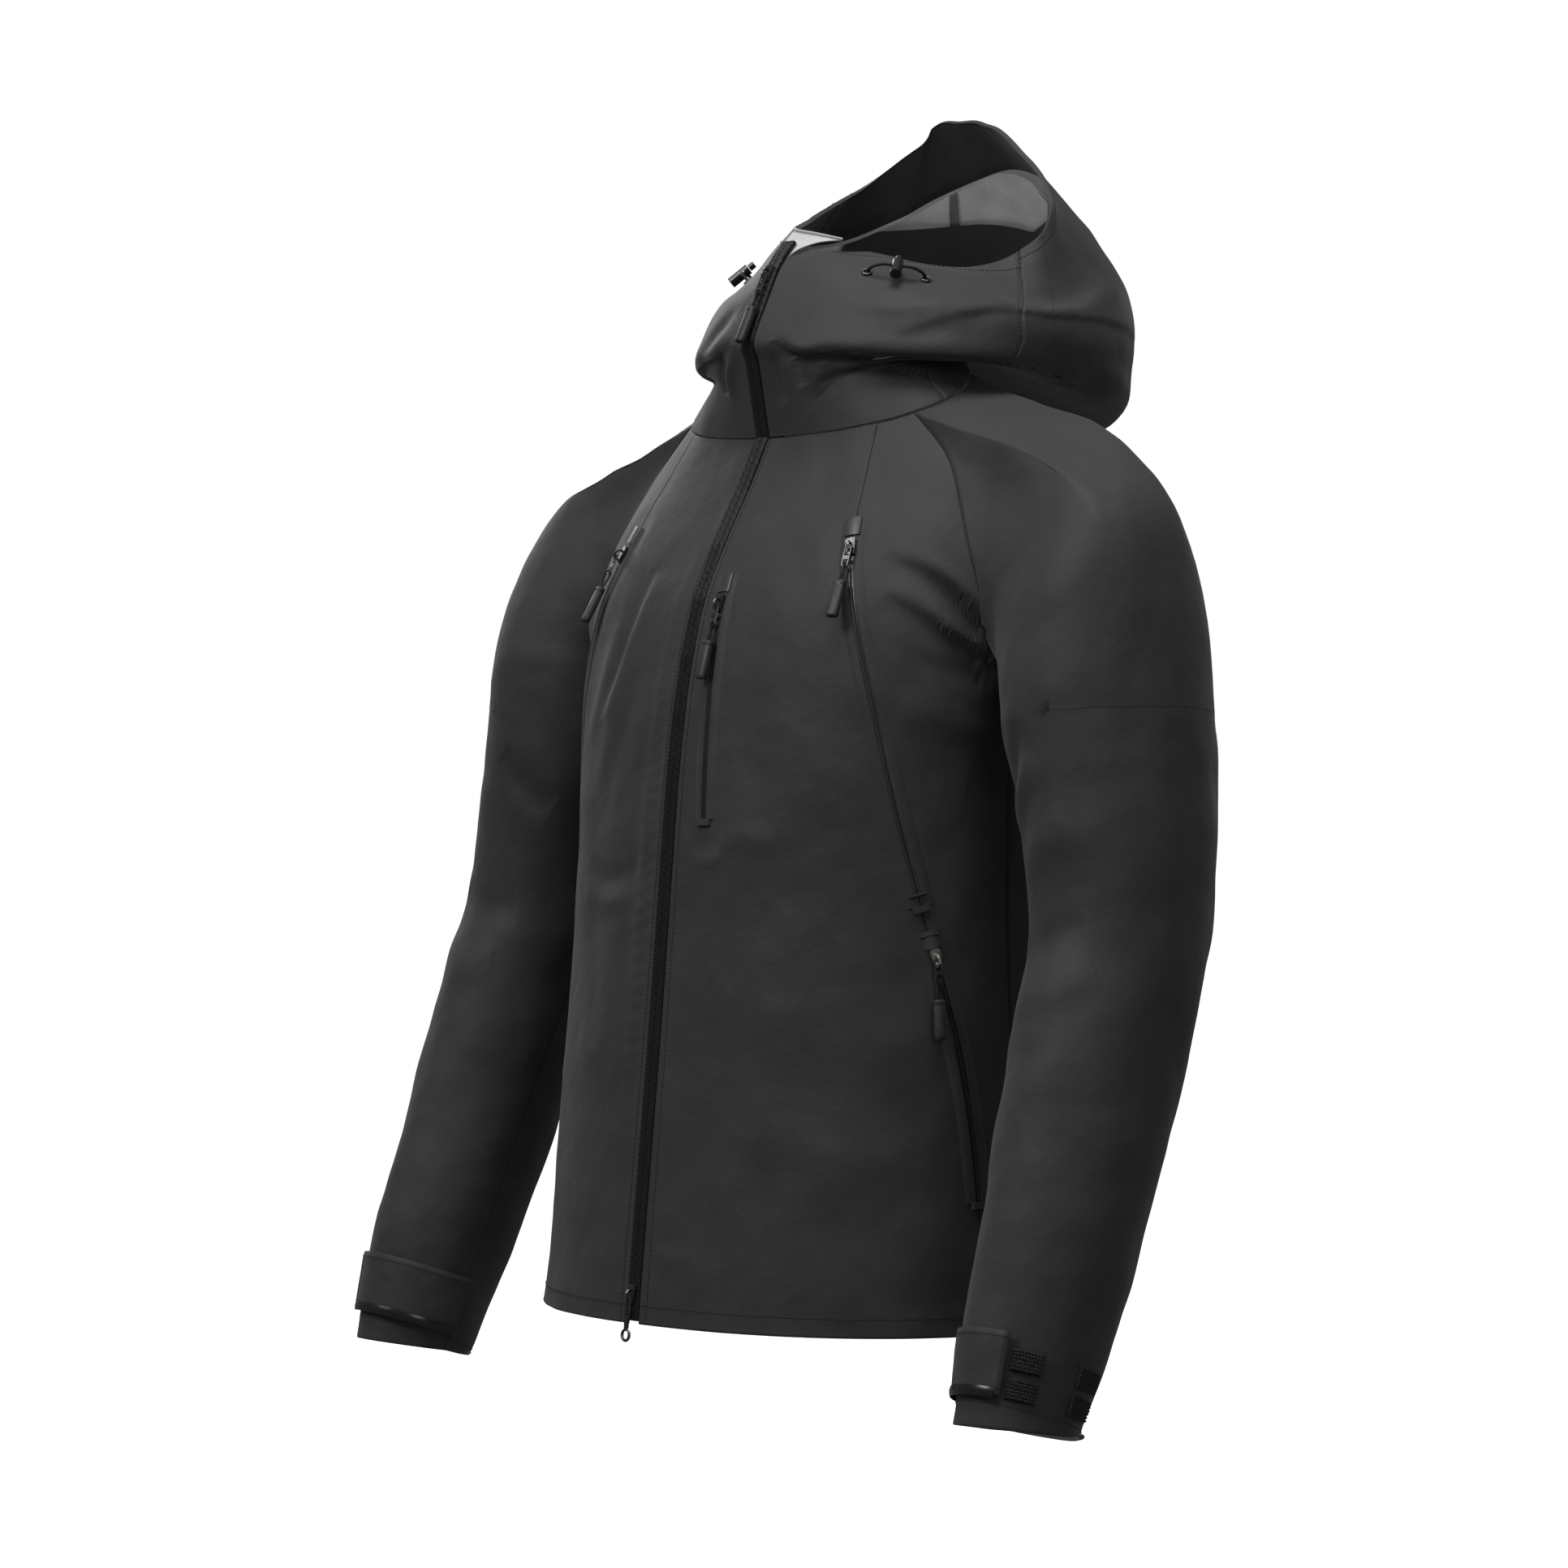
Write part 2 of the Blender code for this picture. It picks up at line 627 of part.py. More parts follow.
def add_hanger():
    s = np.linspace(0, 1, 9)
    x = 0.028 * np.cos(pi * (1 - s))
    z = HANGER[2] - 0.0225 + 0.0225 * np.sin(pi * s) + 0.0007
    y = 0 * s + HANGER[1]
    add("hanger_loop", tube(np.stack([x, y, z], -1), 0.0007, 6, flat=4.0, side=(0, 0, 1)), "cord")


# ---------------------------------------------------------------- zips of the pockets
def cloth(phi, z):
    """Point and outward normal of the body cloth."""
    p = torso(np.array(phi), np.array(z))
    e = 1e-3
    a = torso(np.array(phi + e), np.array(z)) - torso(np.array(phi - e), np.array(z))
    b = torso(np.array(phi), np.array(z + e)) - torso(np.array(phi), np.array(z - e))
    return p, unit(np.cross(a, b))


class Track:
    """The arc a slider follows: a circle through the top, middle and bottom of its run."""

    def __init__(self, points, normal, straight=False):
        a, m, b = [np.array(p, float) for p in points]
        self.chord = unit(b - a)
        self.normal = unit(normal - self.chord * np.dot(normal, self.chord))
        self.side = np.cross(-self.chord, self.normal)
        half = np.linalg.norm(b - a) / 2
        rise = np.dot(m - (a + b) / 2, self.normal)
        self.straight = straight or rise < 0.0004
        self.middle = (a + b) / 2 + self.normal * max(rise, 0)
        if self.straight:
            self.radius = 0.0
            self.centre = self.middle
            self.half = half
        else:
            self.radius = (half * half + rise * rise) / (2 * rise)
            self.centre = self.middle - self.normal * self.radius
            self.half = np.arcsin(half / self.radius)

    def frame(self, s, lift=0.0):
        """Axes at the share s of the run, 0 at the top and 1 at the bottom."""
        if self.straight:
            p = self.middle + self.chord * self.half * (2 * s - 1) + self.normal * lift
            return p, self.side, -self.chord, self.normal
        w = self.half * (2 * s - 1)
        n = self.normal * np.cos(w) + self.chord * np.sin(w)
        d = -self.normal * np.sin(w) + self.chord * np.cos(w)
        return self.centre + n * (self.radius + lift), self.side, -d, n

    def tape(self, s0, s1, half_width, depth, lift, n=7):
        top = []
        low = []
        for s in np.linspace(s1, s0, n):
            p, a, b, c = self.frame(s, lift)
            top.append([p - a * half_width, p + a * half_width])
            low.append([p - a * half_width - c * depth, p + a * half_width - c * depth])
        return box_of(np.array(top), np.array(low))


def tape_on_cloth(z0, z1, azimuth_of, half_width, depth, lift, n=10):
    """A zip tape laid along a seam, following the cloth."""
    top = []
    low = []
    for z in np.linspace(z1, z0, n):
        p, c = cloth(azimuth_of(z), z)
        q = cloth(azimuth_of(z + 0.004), z + 0.004)[0] - cloth(azimuth_of(z - 0.004), z - 0.004)[0]
        a = unit(np.cross(q, c))
        top.append([p - a * half_width + c * lift, p + a * half_width + c * lift])
        low.append([p - a * half_width + c * (lift - depth), p + a * half_width + c * (lift - depth)])
    return box_of(np.array(top), np.array(low))


def track_on_cloth(z0, z1, azimuth_of, side_blend=0.5):
    pts = []
    for z in (z0, (z0 + z1) / 2, z1):
        p, n = cloth(azimuth_of(z), z)
        pts.append(p)
        if z not in (z0, z1):
            normal = n
    return Track(pts, normal)


CHEST_RUN = (0.478, 0.338)
UPPER_RUN = (0.512, 0.430)
LOWER_RUN = (0.246, 0.160)
BOTTOM_RUN = (0.300, 0.014)
TOP_RUN = (0.698, 0.664)


def chest_azimuth(z):
    return radians(-75.0 - 2.8 * (z - 0.335) / 0.14)


def chin_y(z):
    g = hood_rings(np.linspace(2, 6, 60), lambda u: np.array([0.0]))[:, 0]
    return float(np.interp(z, g[:, 2], g[:, 1]))


def tracks():
    t = {}
    t["chest"] = track_on_cloth(*CHEST_RUN, chest_azimuth)
    t["upper"] = track_on_cloth(*UPPER_RUN, lambda z: float(pocket_azimuth(z)))
    t["lower"] = track_on_cloth(*LOWER_RUN, lambda z: float(pocket_azimuth(z)))
    low = [(0, float(section(z)[1]), z) for z in BOTTOM_RUN]
    t["bottom"] = Track([low[0], np.mean(low, 0), low[1]], np.array([0, -1, 0]), True)
    high = [(0, chin_y(z), z) for z in TOP_RUN]
    t["top"] = Track([high[0], np.mean(high, 0), high[1]], np.array([0, -1, 0.4]), True)
    return t


# ---------------------------------------------------------------- zip hardware
PIN_UP = 0.0046                     # height of the pull's pin above the tape
PIN_BACK = -0.0012                  # place of the pin along the slider
PULL_LONG = 0.0150
CORD_LONG = 0.0110
GRIP_LONG = 0.0260


def add_slider(name, frame, origin, flip=False, scale=1.0):
    """Slider body with the bridge that carries the pull."""
    k = scale
    body = prism([(-0.0036 * k, 0.0052), (-0.0015 * k, 0.0062), (0.0015 * k, 0.0062), (0.0036 * k, 0.0052),
                  (0.0030 * k, -0.0020), (0.0026 * k, -0.0060), (-0.0026 * k, -0.0060), (-0.0030 * k, -0.0020)],
                 0.0007, 0.0023)
    ob = add(name, place(body, frame), "metal", origin, flip)
    arch = []
    for a in np.linspace(-90, 90, 9):
        arch.append((0, PIN_BACK + 0.0034 * np.sin(radians(a)), 0.0021 + 0.0040 * np.cos(radians(a))**0.6))
    arch = [(0, arch[0][1], 0.0012)] + arch[1:-1] + [(0, arch[-1][1], 0.0012)]
    combine(ob, place(tube(arch, 0.0009, 6), frame), "UNION", origin, flip)
    return ob


def pin_point(frame):
    o, a, b, c = frame
    return o + b * PIN_BACK + c * (PIN_UP - 0.0006)


def add_pull(name, frame, flip=False, long=PULL_LONG, ring=False):
    """Metal pull: a pin through the slider's bridge, two cheeks and an eye; the lowest one ends in a ring."""
    pin = pin_point(frame)
    fr = (pin, frame[1], frame[2], frame[3])
    r = 0.00055
    loop = [(-0.0020, 0, 0), (-0.0021, -0.0035, 0), (-0.0022, -0.0080, 0), (-0.0021, -long + 0.0014, 0),
            (-0.0012, -long, 0), (0.0012, -long, 0), (0.0021, -long + 0.0014, 0), (0.0022, -0.0080, 0),
            (0.0021, -0.0035, 0), (0.0020, 0, 0)]
    ob = add(name, place(tube(loop, r, 6, closed=True, side=(0, 0, 1)), fr), "metal", pin, flip)
    bar = prism([(-0.0021, -0.0100), (0.0021, -0.0100), (0.0021, -0.0072), (-0.0021, -0.0072)], -r * 0.8, r * 0.8)
    combine(ob, place(bar, fr), "UNION", pin, flip)
    if ring:
        stem = prism([(-0.0016, -0.0230), (0.0016, -0.0230), (0.0022, -0.0136), (-0.0022, -0.0136)],
                     -r * 1.3, r * 1.3)
        combine(ob, place(stem, fr), "UNION", pin, flip)
        turn = [(0.0037 * np.sin(w), 0.0037 * np.cos(w) - 0.0262, 0) for w in np.linspace(0, 2 * pi, 19)[:-1]]
        combine(ob, place(tube(turn, 0.0011, 6, closed=True, side=(0, 0, 1)), fr), "UNION", pin, flip)
    return pin


def hanging(frame):
    """The slider's frame swivelled in the plane of the zip so that the pull hangs plumb from its pin."""
    pin = frame[0] + frame[2] * PIN_BACK
    plumb = np.array([0, 0, 1.0]) - frame[3] * frame[3][2]
    new = frame_on(pin, plumb, frame[3])
    return (new[0] - new[2] * PIN_BACK,) + new[1:]


def eye_point(frame):
    pin = pin_point(frame)
    return pin - frame[2] * PULL_LONG


def add_grip(name, frame, flip=False):
    """Cord loop through the eye of the pull, with the moulded grip at its end."""
    eye = eye_point(frame)
    fr = (eye, frame[1], frame[2], frame[3])
    grip = prism([(x, y - CORD_LONG - GRIP_LONG / 2) for x, y in rounded(0.0041, GRIP_LONG / 2, 0.0012, 2)],
                 -0.0021, 0.0021)
    ob = add(name, place(grip, fr), "grip", eye, flip)
    r = 0.0007
    path = []
    for i in range(9):
        w = radians(180 * i / 8)
        path.append((0, 0.0017 * np.sin(w), 0.0017 * np.cos(w)))
    path = [(0, -CORD_LONG - 0.002, 0.0013)] + path + [(0, -CORD_LONG - 0.002, -0.0013)]
    combine(ob, place(tube(path, r, 6), fr), "UNION", eye, flip)
    return eye


def add_slider_set(label, track, share, flip=False, grip=True):
    frame = track.frame(share, 0.0014)
    origin = track.centre if not track.straight else frame[0]
    add_slider(label + "_slider", frame, origin, flip)
    hang = hanging(frame)
    add_pull(label + "_pull", hang, flip, ring=not grip)
    if grip:
        add_grip(label + "_grip", hang, flip)


def add_pockets(t):
    bag = 0.0010
    half = 0.0042

    def seam(z):
        return float(pocket_azimuth(z))

    add("chest_zip", tape_on_cloth(0.490, 0.333, chest_azimuth, half, 0.0006, 0.0011), "zip")
    for flip, side in ((False, "left"), (True, "right")):
        add("upper_zip_" + side, tape_on_cloth(0.526, 0.278, seam, half, 0.0006, 0.0011, 16), "zip", flip=flip)
        add("lower_zip_" + side, tape_on_cloth(0.260, 0.086, seam, half, 0.0006, 0.0011), "zip", flip=flip)
        add_slider_set("upper_" + side, t["upper"], 0.02, flip)
        add_slider_set("lower_" + side, t["lower"], 0.02, flip)
        add("upper_bag_" + side, sheet(patch(0.290, 0.500, -16, -36, 5), bag, sink=0.0060), "lining", flip=flip)
        add("lower_bag_" + side, sheet(patch(0.030, 0.250, -12, -58, 6), bag, sink=0.0060), "lining", flip=flip)
    add("chest_bag", sheet(patch(0.310, 0.490, -42, -78, 5), bag, sink=0.0060), "lining")
    add_slider_set("chest", t["chest"], 0.02)
    add_slider_set("main_top", t["top"], 0.02)
    add_slider_set("main_bottom", t["bottom"], 0.98, grip=False)


def patch(z0, z1, a0, a1, n):
    z = np.linspace(z0, z1, 6)
    return np.array([torso(np.radians(np.linspace(a1, a0, n)), np.full(n, v)) for v in z])


# ---------------------------------------------------------------- cuffs and cheek cords
def cuff_tab(lift):
    """The adjuster strap wrapped on the sleeve above the cuff edge."""
    z = np.linspace(-0.031, 0.006, 3)
    th = np.radians(np.linspace(182, 58, 7))
    rows = []
    for h in z:
        p, d = arm_ring(h, th)
        c = arm_frame(h)[0]
        out = unit(p - c - d * ((p - c) @ d)[:, None])
        rows.append(p + out * lift)
    return np.array(rows)


def add_cuffs():
    for flip, side in ((False, "left"), (True, "right")):
        g = cuff_tab(0.0032)
        hinge = (g[0, 0] + g[-1, 0]) / 2
        add("cuff_tab_" + side, sheet(g, 0.0016, (0, 0, 0, 0)), "tab", hinge, flip)


def cheek(psi, u, lift):
    p = hood_rings([u], lambda k: np.array([psi]))[0, 0]
    q = hood_rings([u], lambda k: np.array([psi + 0.02]))[0, 0]
    s = hood_rings([u + 0.05], lambda k: np.array([psi]))[0, 0]
    n = unit(np.cross(q - p, s - p))
    return p + n * lift, n


CORD_AT = (radians(40.5), 4.72)      # azimuth and ring of the middle of the left cheek cord
CORD_SPAN = radians(9.5)


def add_cheek_cords():
    for sign, side in ((1, "left"), (-1, "right")):
        psi, u = CORD_AT
        a, na = cheek(sign * (psi - CORD_SPAN), u, 0.0016)
        m, nm = cheek(sign * psi, u, 0.0016)
        b, nb = cheek(sign * (psi + CORD_SPAN), u, 0.0016)
        run = unit(b - a)
        nm = unit(nm - run * np.dot(nm, run))
        c = m + nm * 0.0062
        path = [a, a + na * 0.0035 + run * 0.003, c - run * 0.010, c, c + run * 0.010,
                b + nb * 0.0035 - run * 0.003, b]
        add("cheek_cord_" + side, tube(path, 0.0011, 6, side=tuple(nm)), "cord")
        down = np.cross(nm, run) * sign
        if down[2] > 0:
            down = -down
        frame = (c, run, -down, nm)
        add_lock(side, frame)


def barrel(radius, y0, y1, sides=12):
    """A round barrel standing along the up axis of its frame."""
    v = []
    for y in (y0, y1):
        for i in range(sides):
            w = 2 * pi * (i + 0.5) / sides
            v.append((radius * np.cos(w), y, radius * np.sin(w)))
    f = [tuple(range(sides)), tuple(range(2 * sides - 1, sides - 1, -1))]
    f += [(i, i + sides, (i + 1) % sides + sides, (i + 1) % sides) for i in range(sides)]
    return np.array(v), f


def add_lock(side, frame):
    """Cord lock: a barrel bored across for the cord, with a push button in its upper end."""
    o = frame[0]
    ob = add("cord_lock_" + side, place(barrel(0.0038, -0.0105, 0.0050), frame), "lock", o)
    bore = tube([(-0.006, 0, 0), (0.006, 0, 0)], 0.0017, 10, side=(0, 1, 0))
    combine(ob, place(bore, frame), "DIFFERENCE", o)
    combine(ob, place(barrel(0.0028, 0.0026, 0.0080), frame), "DIFFERENCE", o)
    add("cord_button_" + side, place(barrel(0.0024, 0.0058, 0.0100), frame), "lock", o)


clear()
PARTS = collection(NAME)
CUTTERS = collection("cutters")
add_body()
add_sleeves()
add_hood()
add_front_zip()
add_hanger()
add_pockets(tracks())
add_cuffs()
add_cheek_cords()
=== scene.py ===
"""Looks of the hardshell jacket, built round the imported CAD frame.

The form functions work with x toward the wearer's left, y toward the back and z up from the hem; put() moves
every finished piece into the row frame, whose origin is the underside of the hanger loop.
"""
import bpy
import json
import numpy as np
from math import pi, radians
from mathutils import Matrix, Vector, noise

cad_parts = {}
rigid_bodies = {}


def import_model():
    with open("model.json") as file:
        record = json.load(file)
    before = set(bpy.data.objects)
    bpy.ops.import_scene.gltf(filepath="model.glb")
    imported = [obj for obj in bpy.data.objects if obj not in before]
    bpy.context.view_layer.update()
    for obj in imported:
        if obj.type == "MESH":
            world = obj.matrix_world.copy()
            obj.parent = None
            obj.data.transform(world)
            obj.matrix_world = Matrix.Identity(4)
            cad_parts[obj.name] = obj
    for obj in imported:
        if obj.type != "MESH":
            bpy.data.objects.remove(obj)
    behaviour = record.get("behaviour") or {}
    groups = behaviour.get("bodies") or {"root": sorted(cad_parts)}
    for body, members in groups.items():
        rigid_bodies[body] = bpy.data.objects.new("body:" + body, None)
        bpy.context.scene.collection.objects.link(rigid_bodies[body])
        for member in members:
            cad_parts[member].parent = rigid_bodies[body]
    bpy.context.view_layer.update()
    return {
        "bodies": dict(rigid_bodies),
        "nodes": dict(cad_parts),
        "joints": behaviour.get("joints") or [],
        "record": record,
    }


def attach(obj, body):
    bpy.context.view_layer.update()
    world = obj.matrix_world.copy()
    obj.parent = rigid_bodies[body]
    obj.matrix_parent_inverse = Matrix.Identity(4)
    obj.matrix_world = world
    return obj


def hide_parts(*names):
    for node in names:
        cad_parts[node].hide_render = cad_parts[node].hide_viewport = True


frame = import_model()
NODES = frame["nodes"]

HANGER = (0.0, 0.0640, 0.6640)
ZIP_EDGE = 0.0055


# ---------------------------------------------------------------- body shape
# height above the hem, half width, front depth, back depth of the body
TORSO = [
    (-0.030, 0.209, -0.166, 0.160), (0.00, 0.207, -0.163, 0.158), (0.10, 0.200, -0.153, 0.148),
    (0.20, 0.194, -0.143, 0.137), (0.30, 0.190, -0.134, 0.128), (0.38, 0.193, -0.126, 0.124),
    (0.44, 0.199, -0.116, 0.121), (0.48, 0.200, -0.105, 0.117), (0.52, 0.193, -0.086, 0.110),
    (0.56, 0.172, -0.064, 0.100), (0.60, 0.136, -0.046, 0.086), (0.645, 0.090, -0.036, 0.072)]
SECTION_POWER = 2.25
NECK_FRONT = (-0.052, 0.5875)
NECK_BACK = (0.082, 0.642)
ARMPIT_Z = 0.425

# height, across, depth position, half width, half depth of the sleeve
ARM = [
    (0.400, 0.272, 0.010, 0.064, 0.073), (0.345, 0.284, 0.006, 0.060, 0.069),
    (0.260, 0.297, -0.004, 0.055, 0.063), (0.180, 0.308, -0.032, 0.050, 0.059),
    (0.093, 0.312, -0.061, 0.047, 0.055), (0.020, 0.315, -0.088, 0.044, 0.051),
    (-0.045, 0.318, -0.110, 0.036, 0.043)]
# height and distance from the middle of the raglan seam
RAGLAN = [(0.425, 0.1985), (0.476, 0.194), (0.508, 0.185), (0.540, 0.170), (0.572, 0.148), (0.600, 0.117),
          (0.625, 0.086)]


def smooth(xs, ys, x):
    """Smooth curve through the listed heights."""
    xs = np.asarray(xs, float)
    ys = np.asarray(ys, float)
    x = np.clip(x, xs[0], xs[-1])
    m = np.gradient(ys, xs)
    i = np.clip(np.searchsorted(xs, x) - 1, 0, len(xs) - 2)
    h = xs[i + 1] - xs[i]
    t = (x - xs[i]) / h
    a = (2 * t**3 - 3 * t**2 + 1) * ys[i] + (t**3 - 2 * t**2 + t) * h * m[i]
    return a + (-2 * t**3 + 3 * t**2) * ys[i + 1] + (t**3 - t**2) * h * m[i + 1]


def section(z):
    t = np.array(TORSO)
    return tuple(smooth(t[:, 0], t[:, c], z) for c in (1, 2, 3))


def torso(phi, z):
    """A point of the body: phi -90 deg at the front, 0 at the wearer's left side, 90 at the back."""
    a, f, k = section(z)
    yc = (f + k) / 2
    c, s = np.cos(phi), np.sin(phi)
    b = np.where(s < 0, yc - f, k - yc)
    r = ((np.abs(c) / a)**SECTION_POWER + (np.abs(s) / b)**SECTION_POWER)**(-1 / SECTION_POWER)
    return np.stack([r * c, yc + r * s, z + 0 * phi], -1)


def azimuth(p):
    a, f, k = section(p[..., 2])
    return np.arctan2(p[..., 1] - (f + k) / 2, p[..., 0])


def neck_z(y):
    (y0, z0), (y1, z1) = NECK_FRONT, NECK_BACK
    return z0 + (y - y0) * (z1 - z0) / (y1 - y0)


def raglan_x(z):
    t = np.array(RAGLAN)
    return smooth(t[:, 0], t[:, 1], z)


def raglan_point(z, back):
    """A point of the raglan seam at one height, front or back."""
    a, f, k = section(z)
    x = np.minimum(raglan_x(z), a)
    yc = (f + k) / 2
    b = k - yc if back else f - yc
    y = yc + b * np.maximum(0, 1 - (x / a)**SECTION_POWER)**(1 / SECTION_POWER)
    return np.stack([x, y, z + 0 * x], -1)


def resample(p, n):
    d = np.r_[0, np.cumsum(np.linalg.norm(np.diff(p, axis=0), axis=1))]
    s = np.linspace(0, d[-1], n)
    return np.stack([np.interp(s, d, p[:, c]) for c in range(3)], -1)


def neck_point(phi):
    """A point of the neckline at an azimuth, found by stepping onto the sloping neck plane."""
    z = np.full(np.shape(phi), 0.61)
    for _ in range(30):
        z = 0.5 * z + 0.5 * neck_z(torso(phi, z)[..., 1])
    return torso(phi, z)


def corner(back):
    """Height where the raglan seam reaches the neckline."""
    lo, hi = 0.5, 0.66
    for _ in range(40):
        mid = (lo + hi) / 2
        p = raglan_point(np.array(mid), back)
        if p[2] < neck_z(p[1]):
            lo = mid
        else:
            hi = mid
    return lo


def raglan_curve(back, n=200):
    """The whole raglan seam from the armpit up to the neckline."""
    t = np.linspace(0, 1, n)
    return raglan_point(ARMPIT_Z + (corner(back) - ARMPIT_Z) * t, back)


def sleeve_head(n_side, n_top):
    """Closed ring where the sleeve joins the body: neck, down the front seam, armpit, up the back seam."""
    front = raglan_curve(False, 900)[::-1]
    back = raglan_curve(True, 900)
    pf = azimuth(front[0])
    pb = azimuth(back[-1])
    half = n_top // 2
    top = neck_point(np.linspace(pb, pf, n_top * 1 + 1))
    top = resample(top, n_top + 1)
    sides = [resample(q, n_side + 1)[:-1] for q in (front, back)]
    return np.concatenate([top[half:-1], *sides, top[:half]])


def arm_frame(z):
    t = np.array(ARM)[::-1]
    c = np.stack([smooth(t[:, 0], t[:, 1], z), smooth(t[:, 0], t[:, 2], z), z], -1)
    e = 1e-3
    d = np.stack([smooth(t[:, 0], t[:, 1], z + e) - smooth(t[:, 0], t[:, 1], z - e),
                  smooth(t[:, 0], t[:, 2], z + e) - smooth(t[:, 0], t[:, 2], z - e), 2 * e + 0 * z], -1)
    wide = smooth(t[:, 0], t[:, 3], z)
    deep = smooth(t[:, 0], t[:, 4], z)
    return c, -d / np.linalg.norm(d, axis=-1, keepdims=True), wide, deep


def arm_ring(z, th):
    """A ring of the sleeve square to its run; th 0 is outermost, positive toward the front."""
    c, d, rx, ry = arm_frame(np.clip(z, -0.045, 0.40))
    out = np.cross(d, [0, 1.0, 0])
    out /= np.linalg.norm(out)
    fro = np.cross(out, d)
    fro /= np.linalg.norm(fro)
    if fro[1] > 0:
        fro = -fro
    p = c + rx * np.cos(th)[:, None] * out + ry * np.sin(th)[:, None] * fro
    return p, d


def sleeve(n_head, n_arm, n_side, n_top):
    """The sleeve as rings from the raglan seam to the cuff."""
    h = sleeve_head(n_side, n_top)
    n = len(h)
    i = np.arange(n)
    # angle of each strand round the arm, so the strands stay evenly spread
    d = np.r_[0, np.cumsum(np.linalg.norm(np.diff(np.r_[h, h[:1]], axis=0), axis=1))]
    s = d[:-1] / d[-1]
    k = n_top - n_top // 2 + n_side
    th = np.where(i <= k, pi * s / s[k], 2 * pi - pi * (1 - s) / (1 - s[k]))
    p1, dirn = arm_ring(0.40, th)
    # direction the cloth leaves the seam: along the body surface, away from the seam plane
    up = np.clip((h[:, 2:] - 0.46) / 0.14, 0, 1)
    up = up * up * (3 - 2 * up)
    nrm = np.concatenate([0.80 + 0.17 * up, 0 * up, -0.60 + 0.38 * up], 1)
    e = 1e-3
    g = h + 0 * h
    for c in range(3):
        a, b = h.copy(), h.copy()
        a[:, c] += e
        b[:, c] -= e
        g[:, c] = level(a) - level(b)
    g /= np.linalg.norm(g, axis=1)[:, None]
    t0 = nrm - g * (g * nrm).sum(1)[:, None] * 0.35
    t0 /= np.linalg.norm(t0, axis=1)[:, None]
    gap = np.linalg.norm(p1 - h, axis=1)[:, None]
    rows = []
    for w in np.linspace(0, 1, n_head + 1)[:-1]:
        rows.append((2 * w**3 - 3 * w**2 + 1) * h + (w**3 - 2 * w**2 + w) * t0 * gap * (0.6 + 0.9 * up)
                    + (-2 * w**3 + 3 * w**2) * p1 + (w**3 - w**2) * dirn * gap * (1.2 + 0.6 * up))
    for z in np.linspace(0.40, -0.045, n_arm + 1):
        rows.append(arm_ring(z, th)[0])
    return np.array(rows)


def level(p):
    a, f, k = section(p[..., 2])
    yc = (f + k) / 2
    b = np.where(p[..., 1] < yc, yc - f, k - yc)
    n = SECTION_POWER
    return ((np.abs(p[..., 0]) / a)**n + (np.abs(p[..., 1] - yc) / b)**n)**(1 / n)


# hood and collar rings: half width, front, widest place, back, front power, back power,
# heights at the front, side and back, tilt
HOOD = [
    (0.088, -0.0520, 0.015, 0.079, 2.2, 2.2, 0.5880, 0.6240, 0.6480, 0.000),
    (0.099, -0.0550, 0.020, 0.112, 2.2, 2.2, 0.6120, 0.641, 0.645, 0.002),
    (0.132, -0.0600, 0.060, 0.212, 2.1, 2.2, 0.6380, 0.631, 0.596, -0.003),
    (0.142, -0.0640, 0.075, 0.240, 2.0, 2.1, 0.6520, 0.652, 0.640, 0.003),
    (0.138, -0.0520, 0.080, 0.236, 1.8, 2.1, 0.6800, 0.680, 0.700, 0.010),
    (0.121, -0.0400, 0.095, 0.190, 1.45, 2.3, 0.7050, 0.700, 0.762, 0.016),
    (0.099, -0.0230, 0.108, 0.145, 1.25, 2.8, 0.7250, 0.730, 0.806, 0.020)]
# azimuth and height of the face opening edge, wearer's left round to the right
RIM = [
    (0, 0.725), (25, 0.712), (50, 0.703), (75, 0.710), (95, 0.733),
    (113, 0.768), (135, 0.797), (165, 0.809), (200, 0.812), (225, 0.8115),
    (245, 0.796), (262, 0.774), (285, 0.757), (310, 0.746), (335, 0.738),
    (360, 0.725)]


def hood_ring(row, psi):
    a, f, yc, b, nf, nb, zf, zs, zb, tilt = row
    c, s = np.cos(psi), np.sin(psi)
    n = np.where(c > 0, nf, nb)
    h = np.where(c > 0, yc - f, b - yc)
    r = (np.abs(s / a)**n + np.abs(c / h)**n)**(-1 / n)
    x = r * s
    y = yc - r * c
    w = np.abs(c)**1.6
    z = np.where(c > 0, zf, zb) * w + zs * (1 - w) - tilt * s * (1 - w)
    return np.stack([x, y, z + 0 * x], -1)


def hood_rings(us, psi_of):
    """Grid of the hood skin: one ring per value of us, psi_of(u) gives the azimuths of that ring."""
    keys = np.arange(len(HOOD))
    out = []
    for u in us:
        psi = psi_of(u)
        rings = np.array([hood_key(k, psi) for k in keys])
        out.append(np.stack([along(rings[:, :, c], u) for c in range(3)], -1))
    return np.array(out)


def hood_key(k, psi):
    p = hood_ring(HOOD[k], psi)
    if k == 0:
        # the lowest ring stands on the neckline, a little clear of the body's top edge
        p = neck_point(psi - pi / 2)
        p[:, 2] += 0.0014 + 0.0012 * (1 - np.cos(psi))
    if k == len(HOOD) - 1:
        rim = np.array(RIM, float)
        p[:, 2] = smooth(np.radians(rim[:, 0]), rim[:, 1], np.mod(psi, 2 * pi))
    return p


